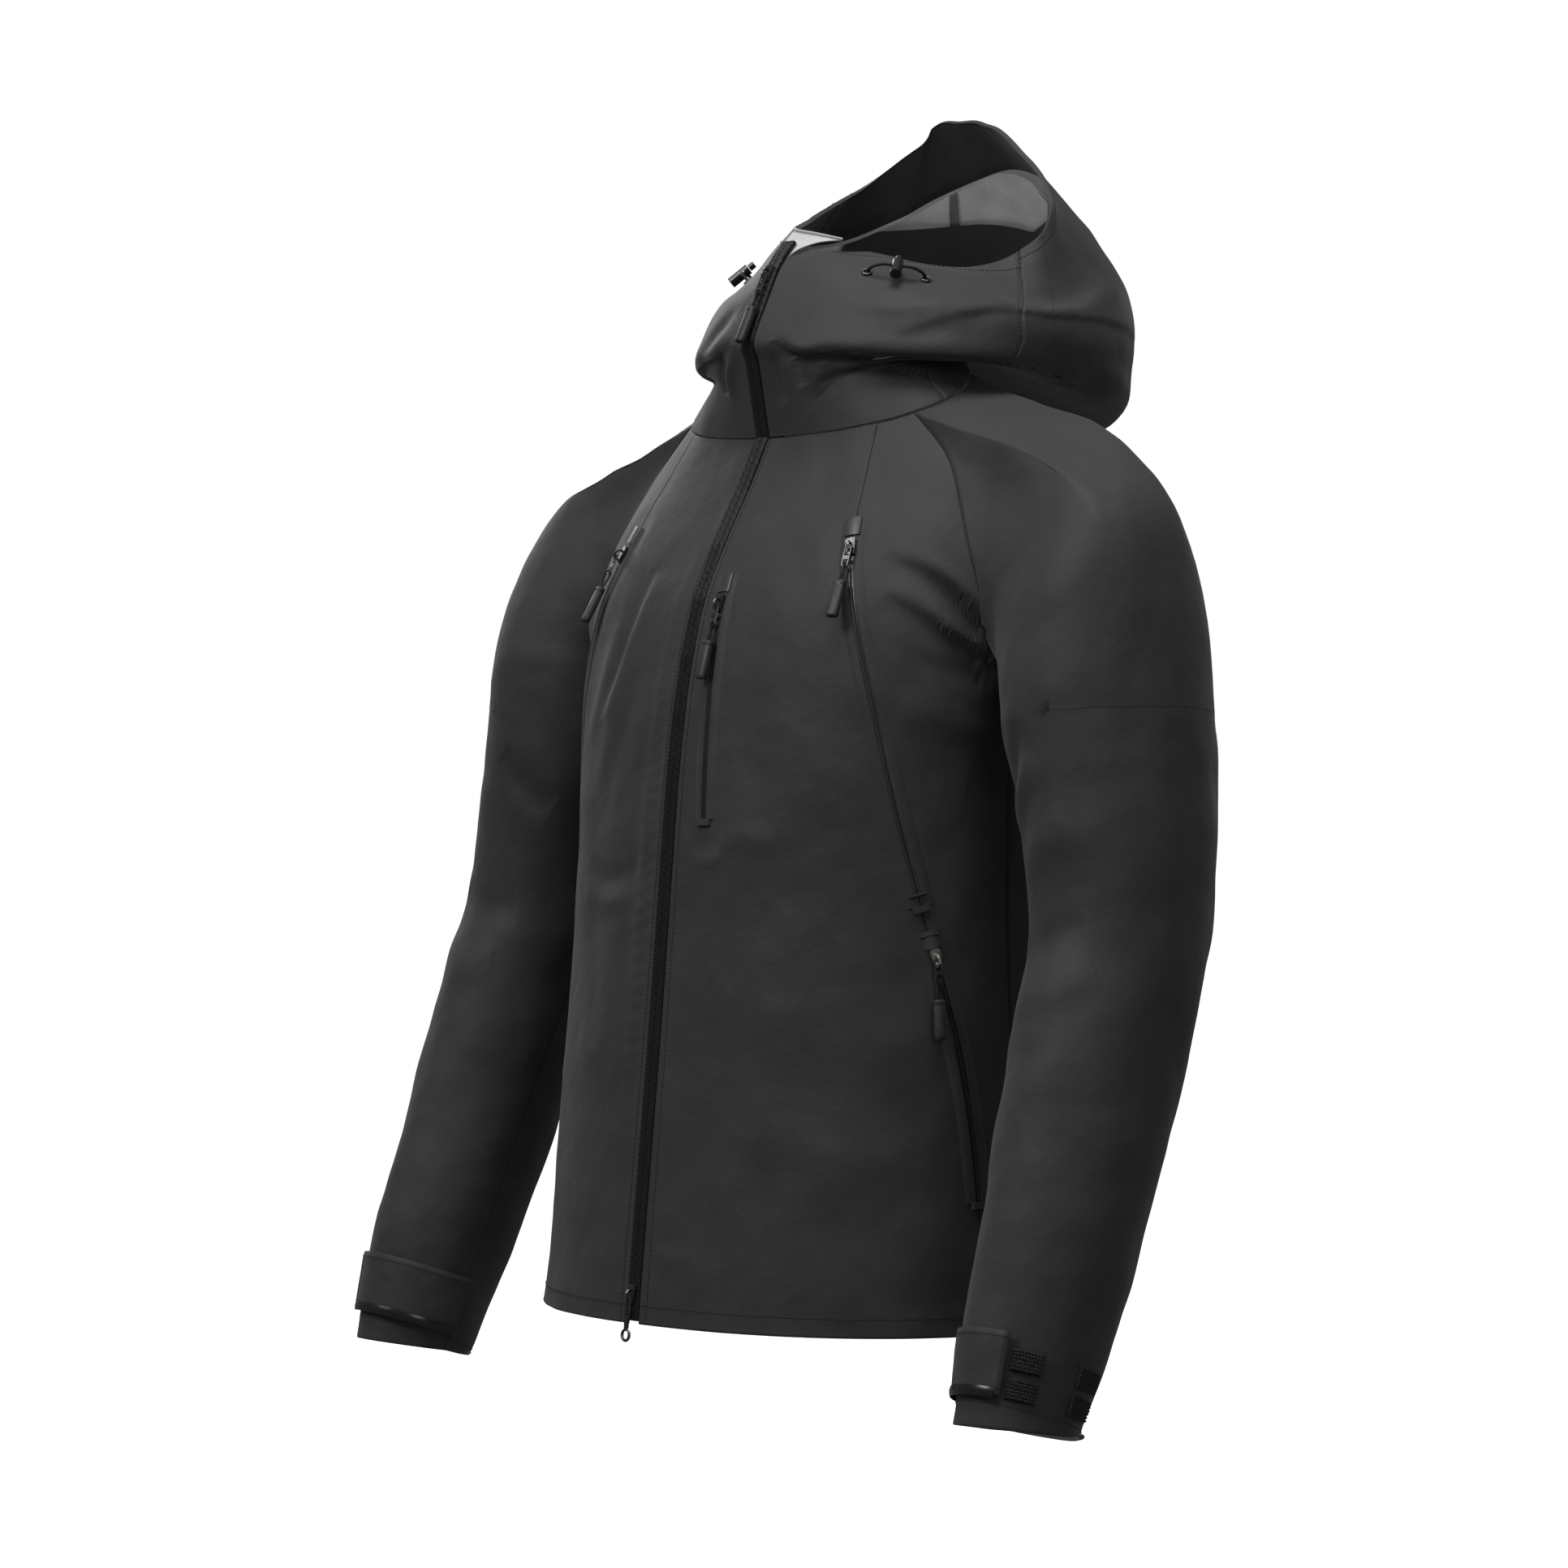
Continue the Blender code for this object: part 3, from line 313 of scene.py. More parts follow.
def along(rows, u):
    """Smooth value between the listed rings, one column per strand."""
    m = np.gradient(rows, axis=0)
    i = int(min(max(np.floor(u), 0), len(rows) - 2))
    t = u - i
    a = (2 * t**3 - 3 * t**2 + 1) * rows[i] + (t**3 - 2 * t**2 + t) * m[i]
    return a + (-2 * t**3 + 3 * t**2) * rows[i + 1] + (t**3 - t**2) * m[i + 1]


# height and azimuth of the seam that carries the side pocket zips
POCKET_SEAM = [(-0.030, -9.0), (0.087, -9.2), (0.140, -10.4), (0.187, -12.6), (0.224, -15.2), (0.253, -17.2),
               (0.281, -19.4), (0.339, -24.0), (0.402, -28.8), (0.455, -33.0), (0.508, -35.5), (0.535, -35.0),
               (0.573, -32.0), (0.605, -27.5), (0.640, -25.0)]


def pocket_azimuth(z):
    t = np.array(POCKET_SEAM)
    return np.radians(smooth(t[:, 0], t[:, 1], z))


def seam_top():
    """Height where the pocket seam meets the neckline."""
    z = 0.60
    for _ in range(30):
        z = 0.5 * z + 0.5 * neck_z(torso(pocket_azimuth(z), np.array(z))[1])
    return float(z)


def side_ends(n_low, n_high, back):
    """Outer ends of the panel rows: up the side seam, then up the raglan seam."""
    low = [torso(np.array(0.0), np.array(ARMPIT_Z * i / n_low)) for i in range(n_low)]
    return np.array(low + list(resample(raglan_curve(back, 900), n_high + 1)))


def row_between(p0, a0, p1, a1, n):
    u = np.linspace(0, 1, n)
    return torso(a0 + (a1 - a0) * u, p0[2] + (p1[2] - p0[2]) * u)


def front_edge(v):
    z = v * neck_point(np.array(-pi / 2))[2]
    return np.array([ZIP_EDGE, section(z)[1], z])


def front_panel(n_low, n_high, nu):
    rows = []
    n = n_low + n_high
    top = seam_top()
    for i in range(n + 1):
        v = i / n
        z = v * top
        e = front_edge(v)
        rows.append(row_between(e, azimuth(e), np.array([0, 0, z]), pocket_azimuth(z), nu))
    rows[-1] = neck_point(azimuth(rows[-1]))
    return np.array(rows)


def side_panel(n_low, n_high, nu):
    rows = []
    n = n_low + n_high
    top = seam_top()
    ends = side_ends(n_low, n_high, False)
    for i in range(n + 1):
        z = i / n * top
        e = ends[i]
        rows.append(row_between(np.array([0, 0, z]), pocket_azimuth(z), e, float(azimuth(e)), nu))
    rows[-1] = neck_point(azimuth(rows[-1]))
    return np.array(rows)


def back_panel(n_low, n_high, nu):
    rows = []
    n = n_low + n_high
    top = neck_point(np.array(pi / 2))[2]
    ends = side_ends(n_low, n_high, True)
    for i in range(n + 1):
        e = ends[i]
        row = row_between(e, float(azimuth(e)), np.array([0, 0, i / n * top]), pi / 2, nu)
        if i == n:
            row = neck_point(azimuth(row))
        rows.append(np.concatenate([row, row[-2::-1] * [-1, 1, 1]]))
    return np.array(rows)


def unit(v):
    return v / np.maximum(np.linalg.norm(v, axis=-1, keepdims=True), 1e-12)


def grid_normals(g):
    du = np.gradient(g, axis=0)
    dv = np.gradient(g, axis=1)
    return unit(np.cross(dv, du))


def tube(path, radius, sides, closed=False, flat=1.0, side=(1, 0, 0)):
    """A round bar along a path; flat squashes it across its own second axis."""
    p = np.array(path, float)
    if closed:
        t = unit(np.roll(p, -1, 0) - np.roll(p, 1, 0))
    else:
        t = unit(np.gradient(p, axis=0))
    s = np.array(side, float)
    v = []
    for i in range(len(p)):
        a = unit(s - t[i] * np.dot(s, t[i]))
        b = np.cross(t[i], a)
        for k in range(sides):
            w = 2 * pi * (k + 0.5) / sides
            v.append(p[i] + a * radius * np.cos(w) + b * radius * flat * np.sin(w))
    n = len(p)
    f = []
    for i in range(n if closed else n - 1):
        for k in range(sides):
            a, b = i * sides + k, i * sides + (k + 1) % sides
            c, d = ((i + 1) % n) * sides + (k + 1) % sides, ((i + 1) % n) * sides + k
            f.append((a, b, c, d))
    if not closed:
        f.append(tuple(range(sides - 1, -1, -1)))
        f.append(tuple(range((n - 1) * sides, n * sides)))
    return np.array(v), f


def rounded(w, h, r, steps=3):
    """Outline of a rounded rectangle centred on zero."""
    out = []
    for cx, cy, a0 in ((w - r, h - r, 0), (r - w, h - r, 90), (r - w, r - h, 180), (w - r, r - h, 270)):
        for i in range(steps + 1):
            a = radians(a0 + 90 * i / steps)
            out.append((cx + r * np.cos(a), cy + r * np.sin(a)))
    return out


def place(solid, frame):
    """Move a solid from its own small frame (across, up, out) to a place on the jacket."""
    o, a, b, c = frame
    v = np.array(solid[0], float)
    return o + v[:, :1] * a + v[:, 1:2] * b + v[:, 2:3] * c, solid[1]


def frame_on(point, up, out):
    """Axes (across, up, out) at a point of the cloth."""
    b = unit(np.array(up, float))
    c = np.array(out, float)
    c = unit(c - b * np.dot(b, c))
    return np.array(point, float), np.cross(b, c), b, c


def front_gap(u):
    x = hood_rings([u], lambda k: np.array([0.05]))[0, 0, 0]
    return (ZIP_EDGE + 0.0003) * 0.05 / x


def front_line():
    """Middle of the front closure from the hem to the chin."""
    z = np.linspace(0.002, neck_point(np.array(-pi / 2))[2], 17)
    low = np.stack([0 * z, section(z)[1], z], -1)
    high = hood_rings(np.linspace(0.3, 5.75, 13), lambda u: np.array([0.0]))[:, 0]
    return np.concatenate([low, high])


def cloth(phi, z):
    """Point and outward normal of the body cloth."""
    p = torso(np.array(phi), np.array(z))
    e = 1e-3
    a = torso(np.array(phi + e), np.array(z)) - torso(np.array(phi - e), np.array(z))
    b = torso(np.array(phi), np.array(z + e)) - torso(np.array(phi), np.array(z - e))
    return p, unit(np.cross(a, b))


class Track:
    """The arc a slider follows: a circle through the top, middle and bottom of its run."""

    def __init__(self, points, normal, straight=False):
        a, m, b = [np.array(p, float) for p in points]
        self.chord = unit(b - a)
        self.normal = unit(normal - self.chord * np.dot(normal, self.chord))
        self.side = np.cross(-self.chord, self.normal)
        half = np.linalg.norm(b - a) / 2
        rise = np.dot(m - (a + b) / 2, self.normal)
        self.straight = straight or rise < 0.0004
        self.middle = (a + b) / 2 + self.normal * max(rise, 0)
        if self.straight:
            self.radius = 0.0
            self.centre = self.middle
            self.half = half
        else:
            self.radius = (half * half + rise * rise) / (2 * rise)
            self.centre = self.middle - self.normal * self.radius
            self.half = np.arcsin(half / self.radius)

    def frame(self, s, lift=0.0):
        """Axes at the share s of the run, 0 at the top and 1 at the bottom."""
        if self.straight:
            p = self.middle + self.chord * self.half * (2 * s - 1) + self.normal * lift
            return p, self.side, -self.chord, self.normal
        w = self.half * (2 * s - 1)
        n = self.normal * np.cos(w) + self.chord * np.sin(w)
        d = -self.normal * np.sin(w) + self.chord * np.cos(w)
        return self.centre + n * (self.radius + lift), self.side, -d, n


def track_on_cloth(z0, z1, azimuth_of):
    pts = []
    for z in (z0, (z0 + z1) / 2, z1):
        p, n = cloth(azimuth_of(z), z)
        pts.append(p)
        if z not in (z0, z1):
            normal = n
    return Track(pts, normal)


CHEST_RUN = (0.478, 0.338)
UPPER_RUN = (0.512, 0.430)
LOWER_RUN = (0.246, 0.160)
BOTTOM_RUN = (0.300, 0.014)
TOP_RUN = (0.698, 0.664)


def chest_azimuth(z):
    return radians(-75.0 - 2.8 * (z - 0.335) / 0.14)


def chin_y(z):
    g = hood_rings(np.linspace(2, 6, 60), lambda u: np.array([0.0]))[:, 0]
    return float(np.interp(z, g[:, 2], g[:, 1]))


def tracks():
    t = {}
    t["chest"] = track_on_cloth(*CHEST_RUN, chest_azimuth)
    t["upper"] = track_on_cloth(*UPPER_RUN, lambda z: float(pocket_azimuth(z)))
    t["lower"] = track_on_cloth(*LOWER_RUN, lambda z: float(pocket_azimuth(z)))
    low = [(0, float(section(z)[1]), z) for z in BOTTOM_RUN]
    t["bottom"] = Track([low[0], np.mean(low, 0), low[1]], np.array([0, -1, 0]), True)
    high = [(0, chin_y(z), z) for z in TOP_RUN]
    t["top"] = Track([high[0], np.mean(high, 0), high[1]], np.array([0, -1, 0.4]), True)
    return t


PIN_UP = 0.0046                     # height of the pull's pin above the tape
PIN_BACK = -0.0012                  # place of the pin along the slider
PULL_LONG = 0.0150
CORD_LONG = 0.0110
GRIP_LONG = 0.0260


def pin_point(frame):
    o, a, b, c = frame
    return o + b * PIN_BACK + c * (PIN_UP - 0.0006)


def hanging(frame):
    """The slider's frame swivelled in the plane of the zip so that the pull hangs plumb from its pin."""
    pin = frame[0] + frame[2] * PIN_BACK
    plumb = np.array([0, 0, 1.0]) - frame[3] * frame[3][2]
    new = frame_on(pin, plumb, frame[3])
    return (new[0] - new[2] * PIN_BACK,) + new[1:]


def eye_point(frame):
    pin = pin_point(frame)
    return pin - frame[2] * PULL_LONG


def cheek(psi, u, lift):
    p = hood_rings([u], lambda k: np.array([psi]))[0, 0]
    q = hood_rings([u], lambda k: np.array([psi + 0.02]))[0, 0]
    s = hood_rings([u + 0.05], lambda k: np.array([psi]))[0, 0]
    n = unit(np.cross(q - p, s - p))
    return p + n * lift, n


CORD_AT = (radians(40.5), 4.72)      # azimuth and ring of the middle of the left cheek cord
CORD_SPAN = radians(9.5)


# ---------------------------------------------------------------- procedural materials
class Paint:
    """A Principled material and short calls for adding procedural nodes to it."""

    def __init__(self, name, colour, rough, metal=0.0):
        self.m = bpy.data.materials.new(name)
        self.m.use_nodes = True
        self.t = self.m.node_tree
        self.b = self.t.nodes["Principled BSDF"]
        self.b.inputs["Base Color"].default_value = (*colour, 1)
        self.b.inputs["Roughness"].default_value = rough
        self.b.inputs["Metallic"].default_value = metal
        self.coord = self.t.nodes.new("ShaderNodeTexCoord")
        self.last = None

    def node(self, kind, **values):
        n = self.t.nodes.new("ShaderNode" + kind)
        for k, v in values.items():
            n.inputs[k].default_value = v
        return n

    def noise(self, scale, detail=3.0, rough=0.55, space="Object", stretch=None):
        n = self.node("TexNoise", Scale=scale, Detail=detail, Roughness=rough)
        source = self.coord.outputs[space]
        if stretch:
            m = self.node("Mapping", Scale=stretch)
            self.t.links.new(source, m.inputs["Vector"])
            source = m.outputs["Vector"]
        self.t.links.new(source, n.inputs["Vector"])
        return n.outputs["Fac"]

    def bands(self, scale, direction, turn=0.0, kind="SIN"):
        """Evenly spaced threads, scale threads to a metre."""
        m = self.node("Mapping")
        m.inputs["Rotation"].default_value = (0, 0, turn)
        self.t.links.new(self.coord.outputs["UV"], m.inputs["Vector"])
        w = self.node("TexWave", Scale=scale * 2 * pi / 20)
        w.wave_type = "BANDS"
        w.bands_direction = direction
        w.wave_profile = kind
        self.t.links.new(m.outputs["Vector"], w.inputs["Vector"])
        return w.outputs["Fac"]

    def maths(self, how, a, b):
        n = self.t.nodes.new("ShaderNodeMath")
        n.operation = how
        for i, x in enumerate((a, b)):
            if isinstance(x, (int, float)):
                n.inputs[i].default_value = x
            else:
                self.t.links.new(x, n.inputs[i])
        return n.outputs[0]

    def ramp(self, source, stops):
        n = self.t.nodes.new("ShaderNodeValToRGB")
        r = n.color_ramp
        while len(r.elements) < len(stops):
            r.elements.new(0.5)
        for e, (pos, c) in zip(r.elements, stops):
            e.position = pos
            e.color = (c, c, c, 1) if isinstance(c, float) else (*c, 1)
        self.t.links.new(source, n.inputs["Fac"])
        return n.outputs["Color"]

    def colour(self, source, stops):
        self.t.links.new(self.ramp(source, stops), self.b.inputs["Base Color"])

    def roughness(self, source, low, high):
        n = self.node("MapRange", **{"To Min": low, "To Max": high})
        self.t.links.new(source, n.inputs["Value"])
        self.t.links.new(n.outputs["Result"], self.b.inputs["Roughness"])

    def bump(self, source, distance, strength=1.0):
        n = self.node("Bump", Strength=strength, Distance=distance)
        self.t.links.new(source, n.inputs["Height"])
        if self.last:
            self.t.links.new(self.last, n.inputs["Normal"])
        self.last = n.outputs["Normal"]
        self.t.links.new(self.last, self.b.inputs["Normal"])

    def edge_wear_and_crease_shade(self, much):
        """More than 0 on edges that stand out, worn paler there; less than 0 in creases, where it paints
        shade into the colour.
        """
        edge = self.t.nodes.new("ShaderNodeNewGeometry").outputs["Pointiness"]
        return self.maths("MULTIPLY", self.maths("SUBTRACT", edge, 0.5), much)

    def sheen(self, weight, rough):
        self.b.inputs["Sheen Weight"].default_value = weight
        self.b.inputs["Sheen Roughness"].default_value = rough

    def coat(self, weight, rough):
        self.b.inputs["Coat Weight"].default_value = weight
        self.b.inputs["Coat Roughness"].default_value = rough


def grey(v, warm=0.0):
    return (v * (1 + warm), v, v * (1 - warm))


def shell_paint(name, dark, light):
    """Matte face cloth: plain weave, soft mottling, worn paler along the edges, and painted shade darkening
    the creases.
    """
    p = Paint(name, grey(dark), 0.62)
    soft = p.noise(16, 4, 0.62)
    grain = p.noise(1500, 2, 0.6)
    mix = p.maths("ADD", p.maths("MULTIPLY", soft, 0.72), p.maths("MULTIPLY", grain, 0.28))
    middle = (dark + light) / 2
    # mottling plus the edge mask: paler worn edges and painted shade in the creases
    p.colour(p.maths("ADD", mix, p.edge_wear_and_crease_shade(0.9)),
             [(0.30, grey(dark)), (0.50, grey(middle)), (0.72, grey(light))])
    p.roughness(soft, 0.56, 0.70)
    weave = p.maths("MULTIPLY", p.bands(1500, "X"), p.bands(1500, "Y"))
    p.bump(weave, 0.00006, 0.5)
    p.bump(grain, 0.00010, 0.5)
    p.bump(p.noise(75, 3, 0.6), 0.0010, 0.5)
    crumple = p.noise(13, 5, 0.6, stretch=(1.0, 1.0, 1.7))
    crumple.node.noise_type = "RIDGED_MULTIFRACTAL"
    p.bump(crumple, 0.0022, 0.55)
    p.sheen(0.18, 0.45)
    return p.m


def lining_paint(name, dark, light):
    """Printed inner face: pale, with a fine knit of darker loops."""
    p = Paint(name, grey(light), 0.75)
    soft = p.noise(30, 4, 0.6)
    knit = p.maths("MULTIPLY", p.bands(900, "X"), p.bands(650, "Y"))
    mix = p.maths("ADD", p.maths("MULTIPLY", soft, 0.8), p.maths("MULTIPLY", knit, 0.2))
    p.colour(mix, [(0.25, grey(dark)), (0.75, grey(light))])
    p.roughness(soft, 0.66, 0.82)
    p.bump(knit, 0.00008, 0.6)
    p.bump(p.noise(120, 3, 0.6), 0.0006, 0.4)
    p.sheen(0.2, 0.5)
    return p.m


def gloss_paint(name, value, rough, coat=0.4):
    """Film laminated over a zip tape or strip: fine grain, rubbed brighter in places."""
    p = Paint(name, grey(value), rough)
    soft = p.noise(60, 3, 0.6)
    p.colour(soft, [(0.3, grey(value * 0.8)), (0.75, grey(value * 1.5))])
    p.roughness(p.noise(240, 3, 0.6), rough * 0.8, rough * 1.35)
    p.bump(p.noise(900, 2, 0.5), 0.00006, 0.5)
    p.coat(coat, 0.22)
    return p.m


def coil_paint(name):
    """Black woven tape over the coil, with a fine twill."""
    p = Paint(name, grey(0.006), 0.5)
    fine = p.maths("MULTIPLY", p.bands(1400, "X", 0.7), p.bands(1400, "Y", 0.7))
    p.colour(p.maths("ADD", p.maths("MULTIPLY", fine, 0.5), p.maths("MULTIPLY", p.noise(50), 0.5)),
             [(0.2, grey(0.003)), (0.75, grey(0.010))])
    p.roughness(p.noise(200), 0.34, 0.52)
    p.bump(fine, 0.00008, 0.7)
    p.sheen(0.15, 0.4)
    return p.m


def metal_paint(name, value, rough, warm=0.02):
    """Plated die casting: slightly uneven plating with rubbed high edges, and painted shade darkening its
    hollows.
    """
    p = Paint(name, grey(value, warm), rough, 1.0)
    soft = p.noise(420, 4, 0.65)
    # the edge mask brightens rubbed high edges and paints shade into the hollows
    p.colour(p.maths("ADD", soft, p.edge_wear_and_crease_shade(2.0)),
             [(0.25, grey(value * 0.6, warm)), (0.55, grey(value, warm)),
                                          (0.8, grey(min(value * 1.5, 0.95), warm))])
    p.roughness(p.noise(900, 3, 0.6), rough * 0.75, rough * 1.4)
    p.bump(p.noise(1600, 2, 0.5), 0.00003, 0.4)
    return p.m


def rubber_paint(name, value, rough=0.5):
    """Moulded satin rubber or plastic with a fine spark finish."""
    p = Paint(name, grey(value), rough)
    soft = p.noise(150, 3, 0.6)
    p.colour(soft, [(0.3, grey(value * 0.85)), (0.75, grey(value * 1.25))])
    p.roughness(p.noise(700, 3, 0.6), rough * 0.85, rough * 1.2)
    p.bump(p.noise(2600, 2, 0.6), 0.00005, 0.5)
    return p.m


def cord_paint(name, value=0.012):
    """Braided cord: two families of strands crossing round it."""
    p = Paint(name, grey(value), 0.65)
    braid = p.maths("MAXIMUM", p.bands(900, "X", 0.8), p.bands(900, "X", -0.8))
    p.colour(p.maths("ADD", p.maths("MULTIPLY", braid, 0.7), p.maths("MULTIPLY", p.noise(300), 0.3)),
             [(0.3, grey(value * 0.5)), (0.8, grey(value * 2.0))])
    p.roughness(p.noise(500), 0.5, 0.75)
    p.bump(braid, 0.00012, 0.8)
    return p.m


def pile_paint(name):
    """Loop pile of the hook-and-loop patches: black filaments catching the light."""
    p = Paint(name, grey(0.008), 0.5)
    tuft = p.noise(2400, 3, 0.7)
    p.colour(tuft, [(0.35, grey(0.003)), (0.62, grey(0.012)), (0.8, grey(0.045))])
    p.roughness(tuft, 0.35, 0.6)
    p.bump(tuft, 0.0004, 0.9)
    return p.m


SHELL = shell_paint("shell_cloth", 0.0265, 0.0390)
# a darker copy of the shell cloth: painted shade for the brim's underside, the hood's inside and the backs of
# the cuff tabs
SHADED_SHELL = shell_paint("shaded_shell_cloth", 0.0180, 0.0250)
LINING = lining_paint("lining_cloth", 0.66, 0.82)
SEAM_TAPE = gloss_paint("seam_tape_film", 0.17, 0.38, 0.2)
PIPING = lining_paint("piping_cloth", 0.50, 0.62)
BAG = lining_paint("pocket_bag_cloth", 0.10, 0.16)
TAPE = gloss_paint("zip_film", 0.009, 0.26)
RIBBED = gloss_paint("zip_film_grey", 0.020, 0.34, 0.25)
COIL = coil_paint("zip_coil")
GARAGE = gloss_paint("garage_film", 0.045, 0.36, 0.25)
STRIP = gloss_paint("cuff_strip_film", 0.010, 0.22)
GUNMETAL = metal_paint("gunmetal", 0.13, 0.30)
SILVER = metal_paint("silver_plate", 0.62, 0.22, 0.05)
GRIP = rubber_paint("grip_rubber", 0.036, 0.46)
LOCK = rubber_paint("lock_plastic", 0.012, 0.30)
CORD = cord_paint("cord_braid")
THREAD = cord_paint("thread", 0.030)
PALE_THREAD = cord_paint("thread_pale", 0.075)
PILE = pile_paint("loop_pile")

